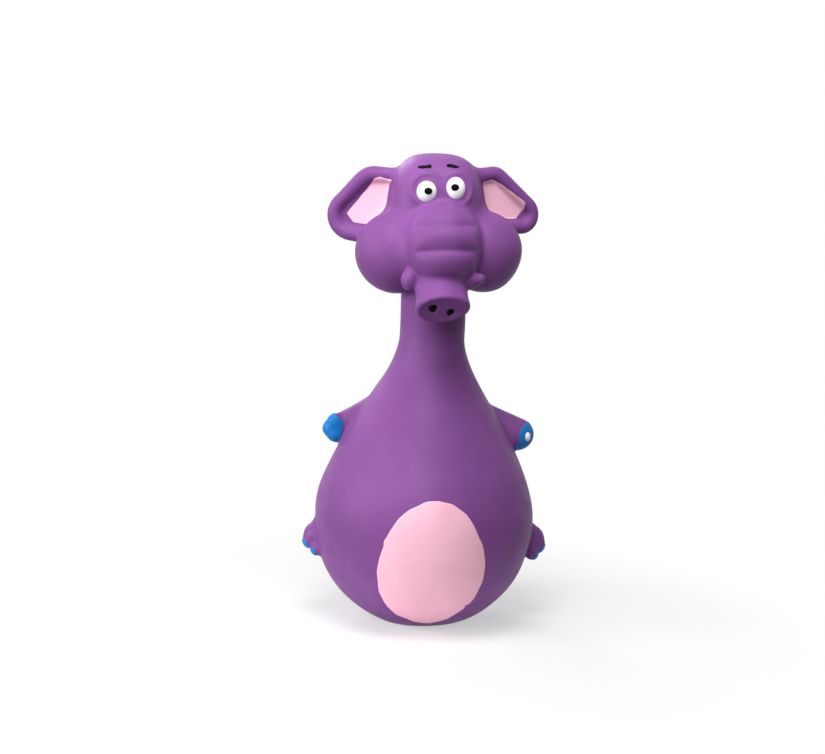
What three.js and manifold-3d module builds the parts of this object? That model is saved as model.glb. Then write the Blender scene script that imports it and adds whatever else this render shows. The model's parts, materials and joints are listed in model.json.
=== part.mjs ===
// A squeaky elephant for dogs: a soft latex skin, moulded in one hollow piece and stuffed with fibre,
// with a reed squeaker snapped into its base and thick painted coats for the eyes, ears, belly and paws.
// Millimetres, +Z up, the face towards -Y. The origin is the middle of the base that the toy stands on.
// Paired pieces are made once, on the toy's left at +X, and mirrored; only the tusks differ.
import * as THREE from "three";
import { mergeVertices } from "three/addons/utils/BufferGeometryUtils.js";
import Module from "manifold-3d";

const wasm = await Module();
wasm.setup();

// Driving dimensions, in millimetres and degrees.

// Latex wall, painted coats, and the clearance between pieces that lie against each other
const WALL = 2.2;
const COAT = 0.6;
const GAP = 0.3;

// Pear-shaped body: a profile round the upright axis, from the flat base to the straight neck
const BASE_SLOPE_ANGLE = 22;
const BASE_PAD = 4.6;
const BOWL_PULL = 18;
const BELLY_R = 44.6;
const BELLY_Z = 44;
const BELLY_PULL = 24;
const SHOULDER_PULL = 24;
const FLARE_PULL = 16.5;
const NECK_R = 13.1;
const NECK_START_Z = 117;
const NECK_JOIN_Z = 104;
const NECK_TOP_Z = 134;

// Pink patch painted on the lower front of the belly
const PATCH_HALF_WIDTH = 20.9;
const PATCH_HALF_HEIGHT = 26.1;
const PATCH_Z = 31.4;

// Head: a cranium over a jaw with two round cheeks, measured from the top of the neck
const CRANIUM_HALF_WIDTH = 19.3;
const CRANIUM_HALF_DEPTH = 18.5;
const CRANIUM_HALF_HEIGHT = 24;
const CRANIUM_RISE = 32;
const CRANIUM_SQUARENESS = 2.6;
const JAW_HALF_WIDTH = 20;
const JAW_HALF_DEPTH = 17.5;
const JAW_HALF_HEIGHT = 19.6;
const CHEEK_R = 16.2;
const CHEEK_SPREAD = 17.3;
const CHEEK_FORWARD = 6;
const CHEEK_RISE = 17.3;

// Eyes on round mounds, with short painted brows above them
const EYE_SPREAD = 5.75;
const EYE_RISE = 42.6;
const EYE_MOUND_R = 7.2;
const EYE_MOUND_PROUD = 1;
const EYE_HALF_WIDTH = 4;
const EYE_HALF_HEIGHT = 4.5;
const EYE_PROUD = 1.7;
const PUPIL_HALF_WIDTH = 1.6;
const PUPIL_HALF_HEIGHT = 1.4;
const BROW_LENGTH = 5.4;
const BROW_HEIGHT = 1.7;
const BROW_SPREAD = 5.8;
const BROW_ABOVE_EYE = 4.4;

// Trunk: a bulb with two deep folds, ending in a drum with two nostrils
const TRUNK_HALF_WIDTH = 14.2;
const TRUNK_HALF_DEPTH = 18.5;
const TRUNK_HALF_HEIGHT = 15.4;
const TRUNK_SQUARENESS = 2.6;
const TRUNK_FORWARD = 19;
const TRUNK_RISE = 22.2;
const FOLD_RISES = [6.6, -3.1];
const FOLD_DEPTH = 1.5;
const FOLD_WIDTH = 1.8;
const TIP_R = 10.9;
const TIP_ROOT_R = 10.1;
const TIP_HEIGHT_RATIO = 0.78;
const TIP_LENGTH = 15;
const TIP_EDGE = 2.2;
const TIP_DIP_ANGLE = 45;
const TIP_FORWARD = 33.8;
const TIP_DROP = 3.2;
const NOSTRIL_SPREAD = 3.7;
const NOSTRIL_R = 1.9;
const NOSTRIL_DEPTH = 1.5;

// Tusks between the trunk and the cheeks: a small blunt horn on the left, worn down to a bead on the right
const TUSK_ROOT_R = 3.5;
const TUSK_TIP_R = 1.4;
const TUSK_LENGTH = 6.5;
const TUSK_SPREAD = 10.1;
const TUSK_FORWARD = 24.8;
const TUSK_RISE = 7.4;
const TUSK_TURN_ANGLE = 50;
const TUSK_LIFT_ANGLE = 12;
const BEAD_HALF_WIDTH = 3.3;
const BEAD_HALF_HEIGHT = 5.1;
const BEAD_SPREAD = 13.8;

// Ears: flat flaps with a thick rolled rim, swept back from the sides of the cranium
const EAR_SINK = 3.3;
const EAR_FORWARD = 0.5;
const EAR_SWEEP_ANGLE = 20;
const EAR_ROUND = 9.2;
const EAR_TOP_LENGTH = 8;
const EAR_TOP_RISE = 41.8;
const EAR_TIP_LENGTH = 19.4;
const EAR_TIP_RISE = 31.5;
const EAR_LOW_LENGTH = 3.7;
const EAR_LOW_RISE = 30.4;
const EAR_THICKNESS = 6;
const EAR_ROLL = 2.2;
const EAR_RIM = 5.2;
const EAR_HOLLOW = 2.6;

// Arms: stubby, with three finger lobes in a blue mitt of paint and one white nail
const ARM_Z = 80;
const ARM_BACK = 5.8;
const ARM_LENGTH = 14.2;
const ARM_DROOP_ANGLE = 24;
const ARM_ROOT_R = 6.4;
const ARM_END_R = 5.6;
const FINGER_R = 2.8;
const FINGER_FAN_ANGLE = 50;
const MITT_LENGTH = 7.8;
const NAIL_R = 1.7;

// Legs: short stumps with three toes dipped in blue
const LEG_Z = 33.4;
const LEG_BACK = 4;
const LEG_LENGTH = 7.4;
const LEG_DROOP_ANGLE = 31;
const LEG_ROOT_R = 9;
const LEG_END_R = 6;
const TOE_R = 2.8;
const TOE_FAN_ANGLE = 50;
const TOE_COAT_LENGTH = 3.4;

// Tail: a short taper that hangs down the back
const TAIL_Z = 34;
const TAIL_LENGTH = 15;
const TAIL_ROOT_R = 2.6;
const TAIL_TIP_R = 1.4;

// Squeaker: a flanged cup in the base, a vented cap, and a reed clamped on its block
const HOLE_R = 10;
const SEAT_LEDGE = 2.8;
const BASE_RIM = 2.7;
const SEAT_DEPTH = 2;
const FLANGE_THICKNESS = 1.1;
const CUP_WALL = 1.5;
const CUP_HEIGHT = 19.5;
const BARB_OVERHANG = 1.4;
const BARB_HEIGHT = 2.6;
const CAP_THICKNESS = 1.3;
const VENT_R = 1.2;
const VENT_RING_R = 4.6;
const VENTS = 5;
const PLATE_THICKNESS = 3;
const POST_R = 3.2;
const POST_LENGTH = 9;
const SLOT_WIDTH = 2.2;
const SLOT_DEPTH = 1.6;
const REED_WIDTH = 4.2;
const REED_THICKNESS = 0.4;
const REED_LENGTH = 8;
const CLAMP_HEIGHT = 2.6;
const CLAMP_DEPTH = 1.8;

// How finely round forms are faceted
const BODY_SIDES = 32;
const BODY_RINGS = 16;
const HEAD_SIDES = 24;
const LIMB_SIDES = 12;
const SMALL_SIDES = 12;
const INNER_SIDES = 16;

const radians = THREE.MathUtils.degToRad;
const v2 = (x, y) => new THREE.Vector2(x, y);
const v3 = (x, y, z) => new THREE.Vector3(x, y, z);

const finish = (color, roughness, metalness = 0) =>
  new THREE.MeshStandardMaterial({ color, roughness, metalness });
const latex = finish(0x8a55a0, 0.55);
const pinkPaint = finish(0xf3b9d1, 0.45);
const bluePaint = finish(0x2f86c8, 0.4);
const whitePaint = finish(0xf4f2ee, 0.35);
const blackPaint = finish(0x17141a, 0.35);
const fibre = finish(0xf1efe9, 0.95);
const squeakerPlastic = finish(0xece9e1, 0.4);
const reedFilm = finish(0xc9a05a, 0.3);

// Solids: three.js geometry in, joined and cut, and three.js geometry out

function solidOf(geometry) {
  const bare = new THREE.BufferGeometry().setAttribute("position", geometry.getAttribute("position"));
  bare.setIndex(geometry.index);
  const merged = mergeVertices(bare, 1e-4);
  const corners = merged.index.array;
  const kept = [];
  for (let i = 0; i < corners.length; i += 3) {
    const [a, b, c] = corners.slice(i, i + 3);
    if (a !== b && b !== c && c !== a) kept.push(a, b, c);
  }
  const vertProperties = merged.getAttribute("position").array;
  return new wasm.Manifold(new wasm.Mesh({ numProp: 3, vertProperties, triVerts: new Uint32Array(kept) }));
}

function geometryOf(solid) {
  const { vertProperties, triVerts } = solid.getMesh();
  return new THREE.BufferGeometry()
    .setAttribute("position", new THREE.BufferAttribute(vertProperties, 3))
    .setIndex(new THREE.BufferAttribute(triVerts, 1));
}

const join = (...solids) => solids.reduce((whole, next) => whole.add(next));
const cut = (solid, ...cutters) => cutters.reduce((left, cutter) => left.subtract(cutter), solid);

function addPiece(group, name, solid, material) {
  const geometry = geometryOf(solid);
  geometry.computeVertexNormals();
  const mesh = new THREE.Mesh(geometry, material);
  mesh.name = name;
  group.add(mesh);
  return mesh;
}

function addPair(group, name, solid, material) {
  addPiece(group, `left_${name}`, solid, material);
  addPiece(group, `right_${name}`, solid, material).scale.x = -1;
}

// Forms

// A profile of [radius, height] points, listed upwards on the outside, turned round the upright axis.
function revolve(profile, sides) {
  const points = profile.map(([r, z]) => v2(r, z));
  return new THREE.LatheGeometry(points, sides).rotateX(Math.PI / 2);
}

// A ball of the given half sizes. Above 2, squareness swells it towards a box.
function ellipsoid(halfX, halfY, halfZ, centre, sides, squareness = 2) {
  const ball = new THREE.SphereGeometry(1, sides, Math.round(sides / 2)).rotateX(Math.PI / 2);
  const place = ball.getAttribute("position");
  for (let i = 0; i < place.count; i++) {
    const point = v3(0, 0, 0).fromBufferAttribute(place, i);
    const reach = point.toArray().reduce((sum, part) => sum + Math.abs(part) ** squareness, 0);
    place.setXYZ(i, ...point.divideScalar(reach ** (1 / squareness)).toArray());
  }
  return solidOf(ball.scale(halfX, halfY, halfZ).translate(...centre));
}

function disc(radius, fromZ, toZ, sides = INNER_SIDES) {
  const edge = [
    [radius, fromZ],
    [radius, toZ],
  ];
  return solidOf(revolve([[0, fromZ], ...edge, [0, toZ]], sides));
}

// Circles of the given radii along a curve, with both ends closed.
function loft(curve, radii, sides) {
  const steps = radii.length - 1;
  const frames = curve.computeFrenetFrames(steps);
  const points = [curve.getPoint(0)];
  radii.forEach((radius, i) => {
    const centre = curve.getPoint(i / steps);
    for (let j = 0; j < sides; j++) {
      const turn = (2 * Math.PI * j) / sides;
      const arm = frames.normals[i].clone().multiplyScalar(Math.cos(turn) * radius);
      points.push(arm.addScaledVector(frames.binormals[i], Math.sin(turn) * radius).add(centre));
    }
  });
  points.push(curve.getPoint(1));
  const last = points.length - 1;
  const corners = [];
  for (let j = 0; j < sides; j++) {
    const next = (j + 1) % sides;
    for (let i = 0; i < steps; i++) {
      const [low, high] = [1 + i * sides, 1 + (i + 1) * sides];
      corners.push(low + j, low + next, high + j, low + next, high + next, high + j);
    }
    const end = 1 + steps * sides;
    corners.push(0, 1 + next, 1 + j, last, end + j, end + next);
  }
  return solidOf(new THREE.BufferGeometry().setFromPoints(points).setIndex(corners));
}

// A stump from root to end: straight, tapered, and domed at the end like a thumb.
function stump(root, direction, length, rootR, endR, grow, sides) {
  const end = root.clone().addScaledVector(direction, length);
  const taper = loft(new THREE.LineCurve3(root, end), [rootR + grow, endR + grow], sides);
  const dome = new THREE.SphereGeometry(endR + grow, sides, sides / 2);
  dome.applyQuaternion(new THREE.Quaternion().setFromUnitVectors(v3(0, 1, 0), direction));
  return join(taper, solidOf(dome.translate(end.x, end.y, end.z)));
}

// Everything past a plane through a point, as far as the toy reaches.
function beyond(point, direction) {
  const reach = 2 * NECK_TOP_Z;
  const block = new THREE.BoxGeometry(reach, reach, reach).translate(0, 0, reach / 2);
  block.applyQuaternion(new THREE.Quaternion().setFromUnitVectors(v3(0, 0, 1), direction));
  return solidOf(block.translate(point.x, point.y, point.z));
}

// An outline in X and Z, pushed forward from the middle of the toy through its front.
function forwardPrism(shape, centreX, centreZ) {
  const reach = 2 * BELLY_R;
  const prism = new THREE.ExtrudeGeometry(shape, { depth: reach, bevelEnabled: false, curveSegments: 16 });
  return solidOf(prism.rotateX(Math.PI / 2).translate(centreX, 0, centreZ));
}

// The base round the squeaker: a hole, a ledge that its flange seats on, and the rim that the toy stands on
const SEAT_R = HOLE_R + SEAT_LEDGE;
const BASE_FLAT_R = SEAT_R + BASE_RIM;
const BARB_R = HOLE_R + BARB_OVERHANG;

// The body's wall: two curves and a straight neck, measured at any height and offset square to itself
const baseEdge = v2(BASE_FLAT_R, 0);
const baseSlope = v2(BOWL_PULL, 0).rotateAround(v2(0, 0), radians(BASE_SLOPE_ANGLE));
const wallCurves = [
  new THREE.CubicBezierCurve(
    baseEdge,
    baseEdge.clone().add(baseSlope),
    v2(BELLY_R, BELLY_Z - BELLY_PULL),
    v2(BELLY_R, BELLY_Z),
  ),
  new THREE.CubicBezierCurve(
    v2(BELLY_R, BELLY_Z),
    v2(BELLY_R, BELLY_Z + SHOULDER_PULL),
    v2(NECK_R, NECK_START_Z - FLARE_PULL),
    v2(NECK_R, NECK_START_Z),
  ),
  new THREE.LineCurve(v2(NECK_R, NECK_START_Z), v2(NECK_R, NECK_TOP_Z + JAW_HALF_HEIGHT)),
];

function wallPoint(z, grow = 0) {
  const curve = wallCurves.find((c) => z <= c.getPoint(1).y) ?? wallCurves.at(-1);
  let [low, high] = [0, 1];
  for (let i = 0; i < 30; i++) {
    const middle = (low + high) / 2;
    if (curve.getPoint(middle).y < z) low = middle;
    else high = middle;
  }
  const tangent = curve.getTangent(low);
  return curve.getPoint(low).add(v2(tangent.y, -tangent.x).multiplyScalar(grow));
}

function wallProfile(fromZ, toZ, steps, grow = 0) {
  return Array.from({ length: steps + 1 }, (_, i) => {
    const turn = (Math.PI * i) / steps;
    const z = fromZ + ((toZ - fromZ) * (1 - Math.cos(turn))) / 2;
    return wallPoint(z, grow).toArray();
  });
}

// The whole body as a filled form, swollen by a clearance, for cutting what sits on it.
function bodyForm(grow) {
  const profile = [...wallProfile(0, NECK_JOIN_Z, BODY_RINGS, grow), wallPoint(NECK_TOP_Z, grow).toArray()];
  return solidOf(revolve([[0, profile[0][1]], ...profile, [0, profile.at(-1)[1]]], BODY_SIDES));
}

// Skin of the body: a hollow pear with a thick base, a seat and a hole for the squeaker
function bodySkin() {
  const outside = wallProfile(0, NECK_JOIN_Z, BODY_RINGS);
  const inside = wallProfile(BASE_PAD, NECK_JOIN_Z, 9, -WALL).filter(([, z]) => z > BASE_PAD);
  const top = wallPoint(NECK_JOIN_Z, -WALL);
  inside[inside.length - 1] = [top.x, NECK_JOIN_Z];
  const padEdge = inside[0][0] - (inside[0][1] - BASE_PAD);
  const base = [
    [padEdge, BASE_PAD],
    [HOLE_R, BASE_PAD],
    [HOLE_R, SEAT_DEPTH],
    [SEAT_R, SEAT_DEPTH],
    [SEAT_R, 0],
  ];
  return solidOf(revolve([...outside, ...inside.reverse(), ...base, outside[0]], BODY_SIDES));
}

// Stuffing of the body, with a pocket round the squeaker
function bodyFill() {
  const floor = BASE_PAD + GAP;
  const outside = wallProfile(BASE_PAD, NECK_JOIN_Z - GAP, 9, -WALL - GAP).filter(([, z]) => z > floor);
  const pocketTop = SEAT_DEPTH + CUP_HEIGHT + GAP;
  const barbTop = BASE_PAD + BARB_HEIGHT + 2 * GAP;
  const cupR = HOLE_R - GAP;
  const top = outside.at(-1)[1];
  const edge = outside[0][0] - (outside[0][1] - floor);
  const pocket = [
    [0, pocketTop],
    [cupR + GAP, pocketTop],
    [cupR + GAP, barbTop],
    [BARB_R + GAP, barbTop],
    [BARB_R + GAP, floor],
    [edge, floor],
  ];
  return solidOf(revolve([...pocket, ...outside, [0, top]], INNER_SIDES));
}

// Head: the outer form, swollen or shrunk by grow and lifted to its place
function headForm(grow, sides, lift = 0) {
  const cheek = (side) => [side * CHEEK_SPREAD, -CHEEK_FORWARD, CHEEK_RISE + lift];
  const cheekR = CHEEK_R + grow;
  return join(
    ellipsoid(
      CRANIUM_HALF_WIDTH + grow,
      CRANIUM_HALF_DEPTH + grow,
      CRANIUM_HALF_HEIGHT + grow,
      [0, 0, CRANIUM_RISE + lift],
      sides,
      CRANIUM_SQUARENESS,
    ),
    ellipsoid(
      JAW_HALF_WIDTH + grow,
      JAW_HALF_DEPTH + grow,
      JAW_HALF_HEIGHT + grow,
      [0, 0, JAW_HALF_HEIGHT + lift],
      sides,
    ),
    ellipsoid(cheekR, cheekR, cheekR, cheek(1), sides),
    ellipsoid(cheekR, cheekR, cheekR, cheek(-1), sides),
  );
}

// How far forward the cranium's surface lies at a place on the face.
function craniumFront(x, rise) {
  const across = Math.abs(x / CRANIUM_HALF_WIDTH);
  const up = Math.abs((rise - CRANIUM_RISE) / CRANIUM_HALF_HEIGHT);
  const left = 1 - across ** CRANIUM_SQUARENESS - up ** CRANIUM_SQUARENESS;
  return CRANIUM_HALF_DEPTH * left ** (1 / CRANIUM_SQUARENESS);
}

// A low round mound under an eye, half sunk in the cranium.
function eyeMound(side, grow) {
  const forward = craniumFront(EYE_SPREAD, EYE_RISE) - EYE_MOUND_PROUD;
  const r = EYE_MOUND_R + grow;
  const depth = 2 * EYE_MOUND_PROUD + grow;
  return ellipsoid(r, depth, r, [side * EYE_SPREAD, -forward, EYE_RISE], SMALL_SIDES);
}

// The head with its eye mounds: what every feature of the face is cut to sit on.
const faceForm = (grow) => join(headForm(grow, HEAD_SIDES), eyeMound(1, grow), eyeMound(-1, grow));

const neckBoreR = NECK_R - WALL;

function headSkin() {
  const hollow = headForm(-WALL, INNER_SIDES);
  return cut(faceForm(0), hollow, disc(neckBoreR, -CHEEK_R, JAW_HALF_HEIGHT));
}

function headFill() {
  const stuffing = headForm(-WALL - GAP, INNER_SIDES);
  return join(stuffing, disc(neckBoreR - GAP, 0, JAW_HALF_HEIGHT));
}

// Neck: the same wall as the body, carried up until it meets the underside of the head
function neckSkin() {
  const foot = NECK_JOIN_Z + GAP;
  const top = NECK_TOP_Z + JAW_HALF_HEIGHT / 2;
  const outside = [...wallProfile(foot, NECK_START_Z, 5), [NECK_R, top]];
  const inside = [...wallProfile(foot, NECK_START_Z, 5, -WALL), [neckBoreR, top]];
  inside[0] = [inside[0][0], foot];
  const tube = solidOf(revolve([...outside, ...inside.reverse(), outside[0]], BODY_SIDES));
  return cut(tube, headForm(GAP, HEAD_SIDES, NECK_TOP_Z));
}

function neckFill() {
  const foot = NECK_JOIN_Z + GAP;
  const outside = wallProfile(foot, NECK_START_Z, 4, -WALL - GAP);
  outside[0] = [outside[0][0], foot];
  const top = NECK_TOP_Z - GAP;
  return solidOf(revolve([[0, foot], ...outside, [neckBoreR - GAP, top], [0, top]], INNER_SIDES));
}

// Trunk: an upright bulb whose radius dips at each fold
function trunkForm(grow) {
  const steps = 22;
  const profile = Array.from({ length: steps + 1 }, (_, i) => {
    const up = -Math.cos((Math.PI * i) / steps);
    const out = (1 - Math.abs(up) ** TRUNK_SQUARENESS) ** (1 / TRUNK_SQUARENESS);
    const z = up * TRUNK_HALF_HEIGHT;
    const dips = FOLD_RISES.map((rise) => Math.exp(-(((z - rise) / FOLD_WIDTH) ** 2)));
    const dip = FOLD_DEPTH * dips.reduce((sum, d) => sum + d, 0);
    return [out * (TRUNK_HALF_WIDTH - dip + grow), z + up * grow];
  });
  const depth = (TRUNK_HALF_DEPTH + grow) / (TRUNK_HALF_WIDTH + grow);
  return solidOf(revolve(profile, HEAD_SIDES).scale(1, depth, 1).translate(0, -TRUNK_FORWARD, TRUNK_RISE));
}

// Trunk tip: a drum with a rounded edge, tilted down, with a dimple for each nostril
const placeTip = (geometry) =>
  geometry
    .scale(1, TIP_HEIGHT_RATIO, 1)
    .rotateX(Math.PI / 2 + radians(TIP_DIP_ANGLE))
    .translate(0, -TIP_FORWARD, -TIP_DROP);

function nostrilBall(grow) {
  const above = NOSTRIL_R - NOSTRIL_DEPTH;
  const ball = new THREE.SphereGeometry(NOSTRIL_R + grow, SMALL_SIDES, SMALL_SIDES / 2);
  return ball.translate(NOSTRIL_SPREAD, 0, above);
}

function tipForm(grow) {
  const edgeSteps = 4;
  const edge = Array.from({ length: edgeSteps + 1 }, (_, i) => {
    const turn = (Math.PI / 2) * (i / edgeSteps);
    const r = TIP_R - TIP_EDGE + (TIP_EDGE + grow) * Math.cos(turn);
    return [r, -TIP_EDGE + (TIP_EDGE + grow) * Math.sin(turn)];
  });
  const profile = [[0, -TIP_LENGTH - grow], [TIP_ROOT_R + grow, -TIP_LENGTH - grow], ...edge, [0, grow]];
  return solidOf(placeTip(revolve(profile, HEAD_SIDES)));
}

function trunkTip() {
  const left = nostrilBall(0);
  const right = left.clone().rotateZ(Math.PI);
  const drum = cut(tipForm(0), solidOf(placeTip(left)), solidOf(placeTip(right)));
  return cut(drum, trunkForm(GAP), headForm(GAP, HEAD_SIDES));
}

// Black paint in the bottom of a nostril.
function nostrilPaint() {
  const reach = 2 * TIP_R;
  const below = new THREE.BoxGeometry(reach, reach, reach).translate(0, 0, -reach / 2 - GAP);
  return solidOf(placeTip(nostrilBall(-GAP))).intersect(solidOf(placeTip(below)));
}

// Tusks: a blunt horn that points outwards, forwards and a little up, and a bead
const seatTusk = (form) => cut(form, headForm(GAP, HEAD_SIDES), trunkForm(GAP), tipForm(GAP));

function hornTusk() {
  const root = v3(TUSK_SPREAD, -TUSK_FORWARD, TUSK_RISE);
  const fromUp = Math.PI / 2 - radians(TUSK_LIFT_ANGLE);
  const direction = v3(0, 0, 1).setFromSphericalCoords(1, fromUp, radians(TUSK_TURN_ANGLE));
  const outward = v3(direction.x, -direction.z, direction.y);
  const length = TUSK_LENGTH - TUSK_TIP_R;
  return seatTusk(stump(root, outward, length, TUSK_ROOT_R, TUSK_TIP_R, 0, LIMB_SIDES));
}

function beadTusk() {
  const centre = [-BEAD_SPREAD, -TUSK_FORWARD, TUSK_RISE];
  return seatTusk(ellipsoid(BEAD_HALF_WIDTH, BEAD_HALF_WIDTH, BEAD_HALF_HEIGHT, centre, LIMB_SIDES));
}

// Eye, pupil and brow
function eyeForm(grow) {
  const forward = craniumFront(EYE_SPREAD, EYE_RISE) + EYE_MOUND_PROUD;
  const depth = EYE_HALF_WIDTH;
  const centre = [EYE_SPREAD, -(forward + EYE_PROUD - depth), EYE_RISE];
  return ellipsoid(EYE_HALF_WIDTH + grow, depth + grow, EYE_HALF_HEIGHT + grow, centre, SMALL_SIDES);
}

const eye = () => cut(eyeForm(0), faceForm(GAP));

function pupil() {
  const dot = new THREE.Shape().absellipse(0, 0, PUPIL_HALF_WIDTH, PUPIL_HALF_HEIGHT, 0, 2 * Math.PI);
  const coat = cut(eyeForm(GAP + COAT), eyeForm(GAP), faceForm(GAP));
  return coat.intersect(forwardPrism(dot, EYE_SPREAD, EYE_RISE));
}

function brow() {
  const r = BROW_HEIGHT / 2;
  const half = BROW_LENGTH / 2 - r;
  const stroke = new THREE.Shape()
    .absarc(half, 0, r, -Math.PI / 2, Math.PI / 2)
    .absarc(-half, 0, r, Math.PI / 2, (3 * Math.PI) / 2);
  const coat = cut(headForm(GAP + COAT, HEAD_SIDES), faceForm(GAP));
  return coat.intersect(forwardPrism(stroke, BROW_SPREAD, EYE_RISE + EYE_HALF_HEIGHT + BROW_ABOVE_EYE));
}

// Ear: four corners in the ear's own plane, out along X and up along Y from a root sunk in the cranium,
// listed clockwise, with an outline at a distance round them
const earCorners = [
  v2(-EAR_SINK, EAR_TOP_RISE),
  v2(EAR_TOP_LENGTH, EAR_TOP_RISE),
  v2(EAR_TIP_LENGTH, EAR_TIP_RISE),
  v2(EAR_LOW_LENGTH, EAR_LOW_RISE),
];

function earOutline(distance) {
  const shape = new THREE.Shape();
  const facing = (from, to) => Math.atan2(to.x - from.x, from.y - to.y);
  earCorners.forEach((corner, i) => {
    const before = facing(earCorners.at(i - 1), corner);
    const after = facing(corner, earCorners[(i + 1) % earCorners.length]);
    shape.absarc(corner.x, corner.y, distance, before, after, true);
  });
  return shape.closePath();
}

const placeEar = (geometry) =>
  geometry
    .rotateX(Math.PI / 2)
    .rotateZ(radians(EAR_SWEEP_ANGLE))
    .translate(CRANIUM_HALF_WIDTH - EAR_SINK, -EAR_FORWARD, 0);

// A slab of an ear outline between two depths, where depth runs forward out of the ear's face.
function earSlab(shape, from, to) {
  const depth = to - from;
  const slab = new THREE.ExtrudeGeometry(shape, { depth, bevelEnabled: false, curveSegments: 5 });
  return solidOf(placeEar(slab.translate(0, 0, from)));
}

function ear() {
  const flat = EAR_THICKNESS - 2 * EAR_ROLL;
  const blank = new THREE.ExtrudeGeometry(earOutline(EAR_ROUND), {
    depth: flat,
    bevelThickness: EAR_ROLL,
    bevelSize: EAR_ROLL,
    bevelOffset: -EAR_ROLL,
    bevelSegments: 3,
    curveSegments: 5,
  });
  const flap = solidOf(placeEar(blank.translate(0, 0, -flat / 2)));
  const face = EAR_THICKNESS / 2;
  const pocket = earSlab(earOutline(EAR_ROUND - EAR_RIM), face - EAR_HOLLOW, face + EAR_ROLL);
  return cut(flap, pocket, faceForm(GAP));
}

function earLining() {
  const floor = EAR_THICKNESS / 2 - EAR_HOLLOW + GAP;
  const outline = earOutline(EAR_ROUND - EAR_RIM - GAP);
  return cut(earSlab(outline, floor, floor + COAT), faceForm(GAP));
}

// Limbs: a stump on the body's side with lobes fanned across its end
const outAndDown = (droop) => v3(Math.cos(radians(droop)), 0, -Math.sin(radians(droop)));

function limb({ z, back, length, droop, rootR, endR, lobeR, fan }) {
  const direction = outAndDown(droop);
  const sunk = 2 * rootR;
  const root = v3(wallPoint(z).x, back, z).addScaledVector(direction, -sunk);
  const reach = sunk + length - endR - lobeR / 2;
  const end = root.clone().addScaledVector(direction, reach);
  const lobeAt = (turn) =>
    end
      .clone()
      .addScaledVector(direction, (endR - lobeR / 2) * Math.cos(radians(turn)))
      .add(v3(0, -(endR - lobeR / 3) * Math.sin(radians(turn)), -lobeR / 3));
  const form = (grow) =>
    join(
      stump(root, direction, reach, rootR, endR, grow, LIMB_SIDES),
      ...[fan, 0, -fan].map((turn) => {
        const r = lobeR + grow;
        return ellipsoid(r, r, r, lobeAt(turn).toArray(), LIMB_SIDES - 4);
      }),
    );
  const tip = end.clone().addScaledVector(direction, endR + lobeR / 2);
  return { form, direction, tip, lobeAt };
}

const arm = limb({
  z: ARM_Z,
  back: ARM_BACK,
  length: ARM_LENGTH,
  droop: ARM_DROOP_ANGLE,
  rootR: ARM_ROOT_R,
  endR: ARM_END_R,
  lobeR: FINGER_R,
  fan: FINGER_FAN_ANGLE,
});
const leg = limb({
  z: LEG_Z,
  back: LEG_BACK,
  length: LEG_LENGTH,
  droop: LEG_DROOP_ANGLE,
  rootR: LEG_ROOT_R,
  endR: LEG_END_R,
  lobeR: TOE_R,
  fan: TOE_FAN_ANGLE,
});

// Paint over the end of a limb, as far back from its tip as the given length.
function endCoat({ form, direction, tip }, length) {
  const plane = tip.clone().addScaledVector(direction, -length);
  const coat = cut(form(GAP + COAT), form(GAP)).intersect(beyond(plane, direction));
  return cut(coat, bodyForm(GAP));
}

function nail() {
  const centre = arm.lobeAt(FINGER_FAN_ANGLE).addScaledVector(arm.direction, FINGER_R / 2);
  centre.y -= FINGER_R + COAT;
  const lens = ellipsoid(NAIL_R, NAIL_R, NAIL_R, centre.toArray(), LIMB_SIDES);
  return cut(lens, arm.form(COAT + 2 * GAP));
}

// Tail: it leaves the back and hangs close to it
function tail() {
  const root = v3(0, wallPoint(TAIL_Z).x - TAIL_ROOT_R, TAIL_Z);
  const end = v3(0, wallPoint(TAIL_Z).x + TAIL_TIP_R / 2, TAIL_Z - TAIL_LENGTH);
  const direction = end.clone().sub(root);
  const length = direction.length();
  const form = stump(root, direction.normalize(), length, TAIL_ROOT_R, TAIL_TIP_R, 0, LIMB_SIDES - 4);
  return cut(form, bodyForm(GAP));
}

// Belly patch: a coat over the body, inside an oval seen from the front
function bellyPatch() {
  const oval = new THREE.Shape().absellipse(0, 0, PATCH_HALF_WIDTH, PATCH_HALF_HEIGHT, 0, 2 * Math.PI);
  return cut(bodyForm(GAP + COAT), bodyForm(GAP)).intersect(forwardPrism(oval, 0, PATCH_Z));
}

// Squeaker: heights are measured from the base that the toy stands on
const cupR = HOLE_R - GAP;
const cupBoreR = cupR - CUP_WALL;
const flangeTop = SEAT_DEPTH - GAP;
const flangeFoot = flangeTop - FLANGE_THICKNESS;
const cupTop = SEAT_DEPTH + CUP_HEIGHT;
const barbFoot = BASE_PAD + GAP;
const airHoleR = POST_R;

function squeakerCup() {
  const outside = [
    [cupBoreR, flangeFoot],
    [SEAT_R - GAP, flangeFoot],
    [SEAT_R - GAP, flangeTop],
    [cupR, flangeTop],
    [cupR, barbFoot],
    [BARB_R, barbFoot],
    [cupR, barbFoot + BARB_HEIGHT],
    [cupR, cupTop],
  ];
  const inside = [
    [airHoleR, cupTop],
    [airHoleR, cupTop - CUP_WALL],
    [cupBoreR, cupTop - CUP_WALL],
    [cupBoreR, flangeFoot],
  ];
  return solidOf(revolve([...outside, ...inside], SMALL_SIDES * 2));
}

function squeakerCap() {
  const vent = disc(VENT_R, -GAP, SEAT_DEPTH + CAP_THICKNESS, LIMB_SIDES - 4);
  const ring = Array.from({ length: VENTS }, (_, i) => {
    const turn = (2 * Math.PI * i) / VENTS;
    return vent.translate(VENT_RING_R * Math.cos(turn), VENT_RING_R * Math.sin(turn), 0);
  });
  return cut(disc(cupBoreR - GAP, flangeFoot, flangeFoot + CAP_THICKNESS), ...ring);
}

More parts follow.
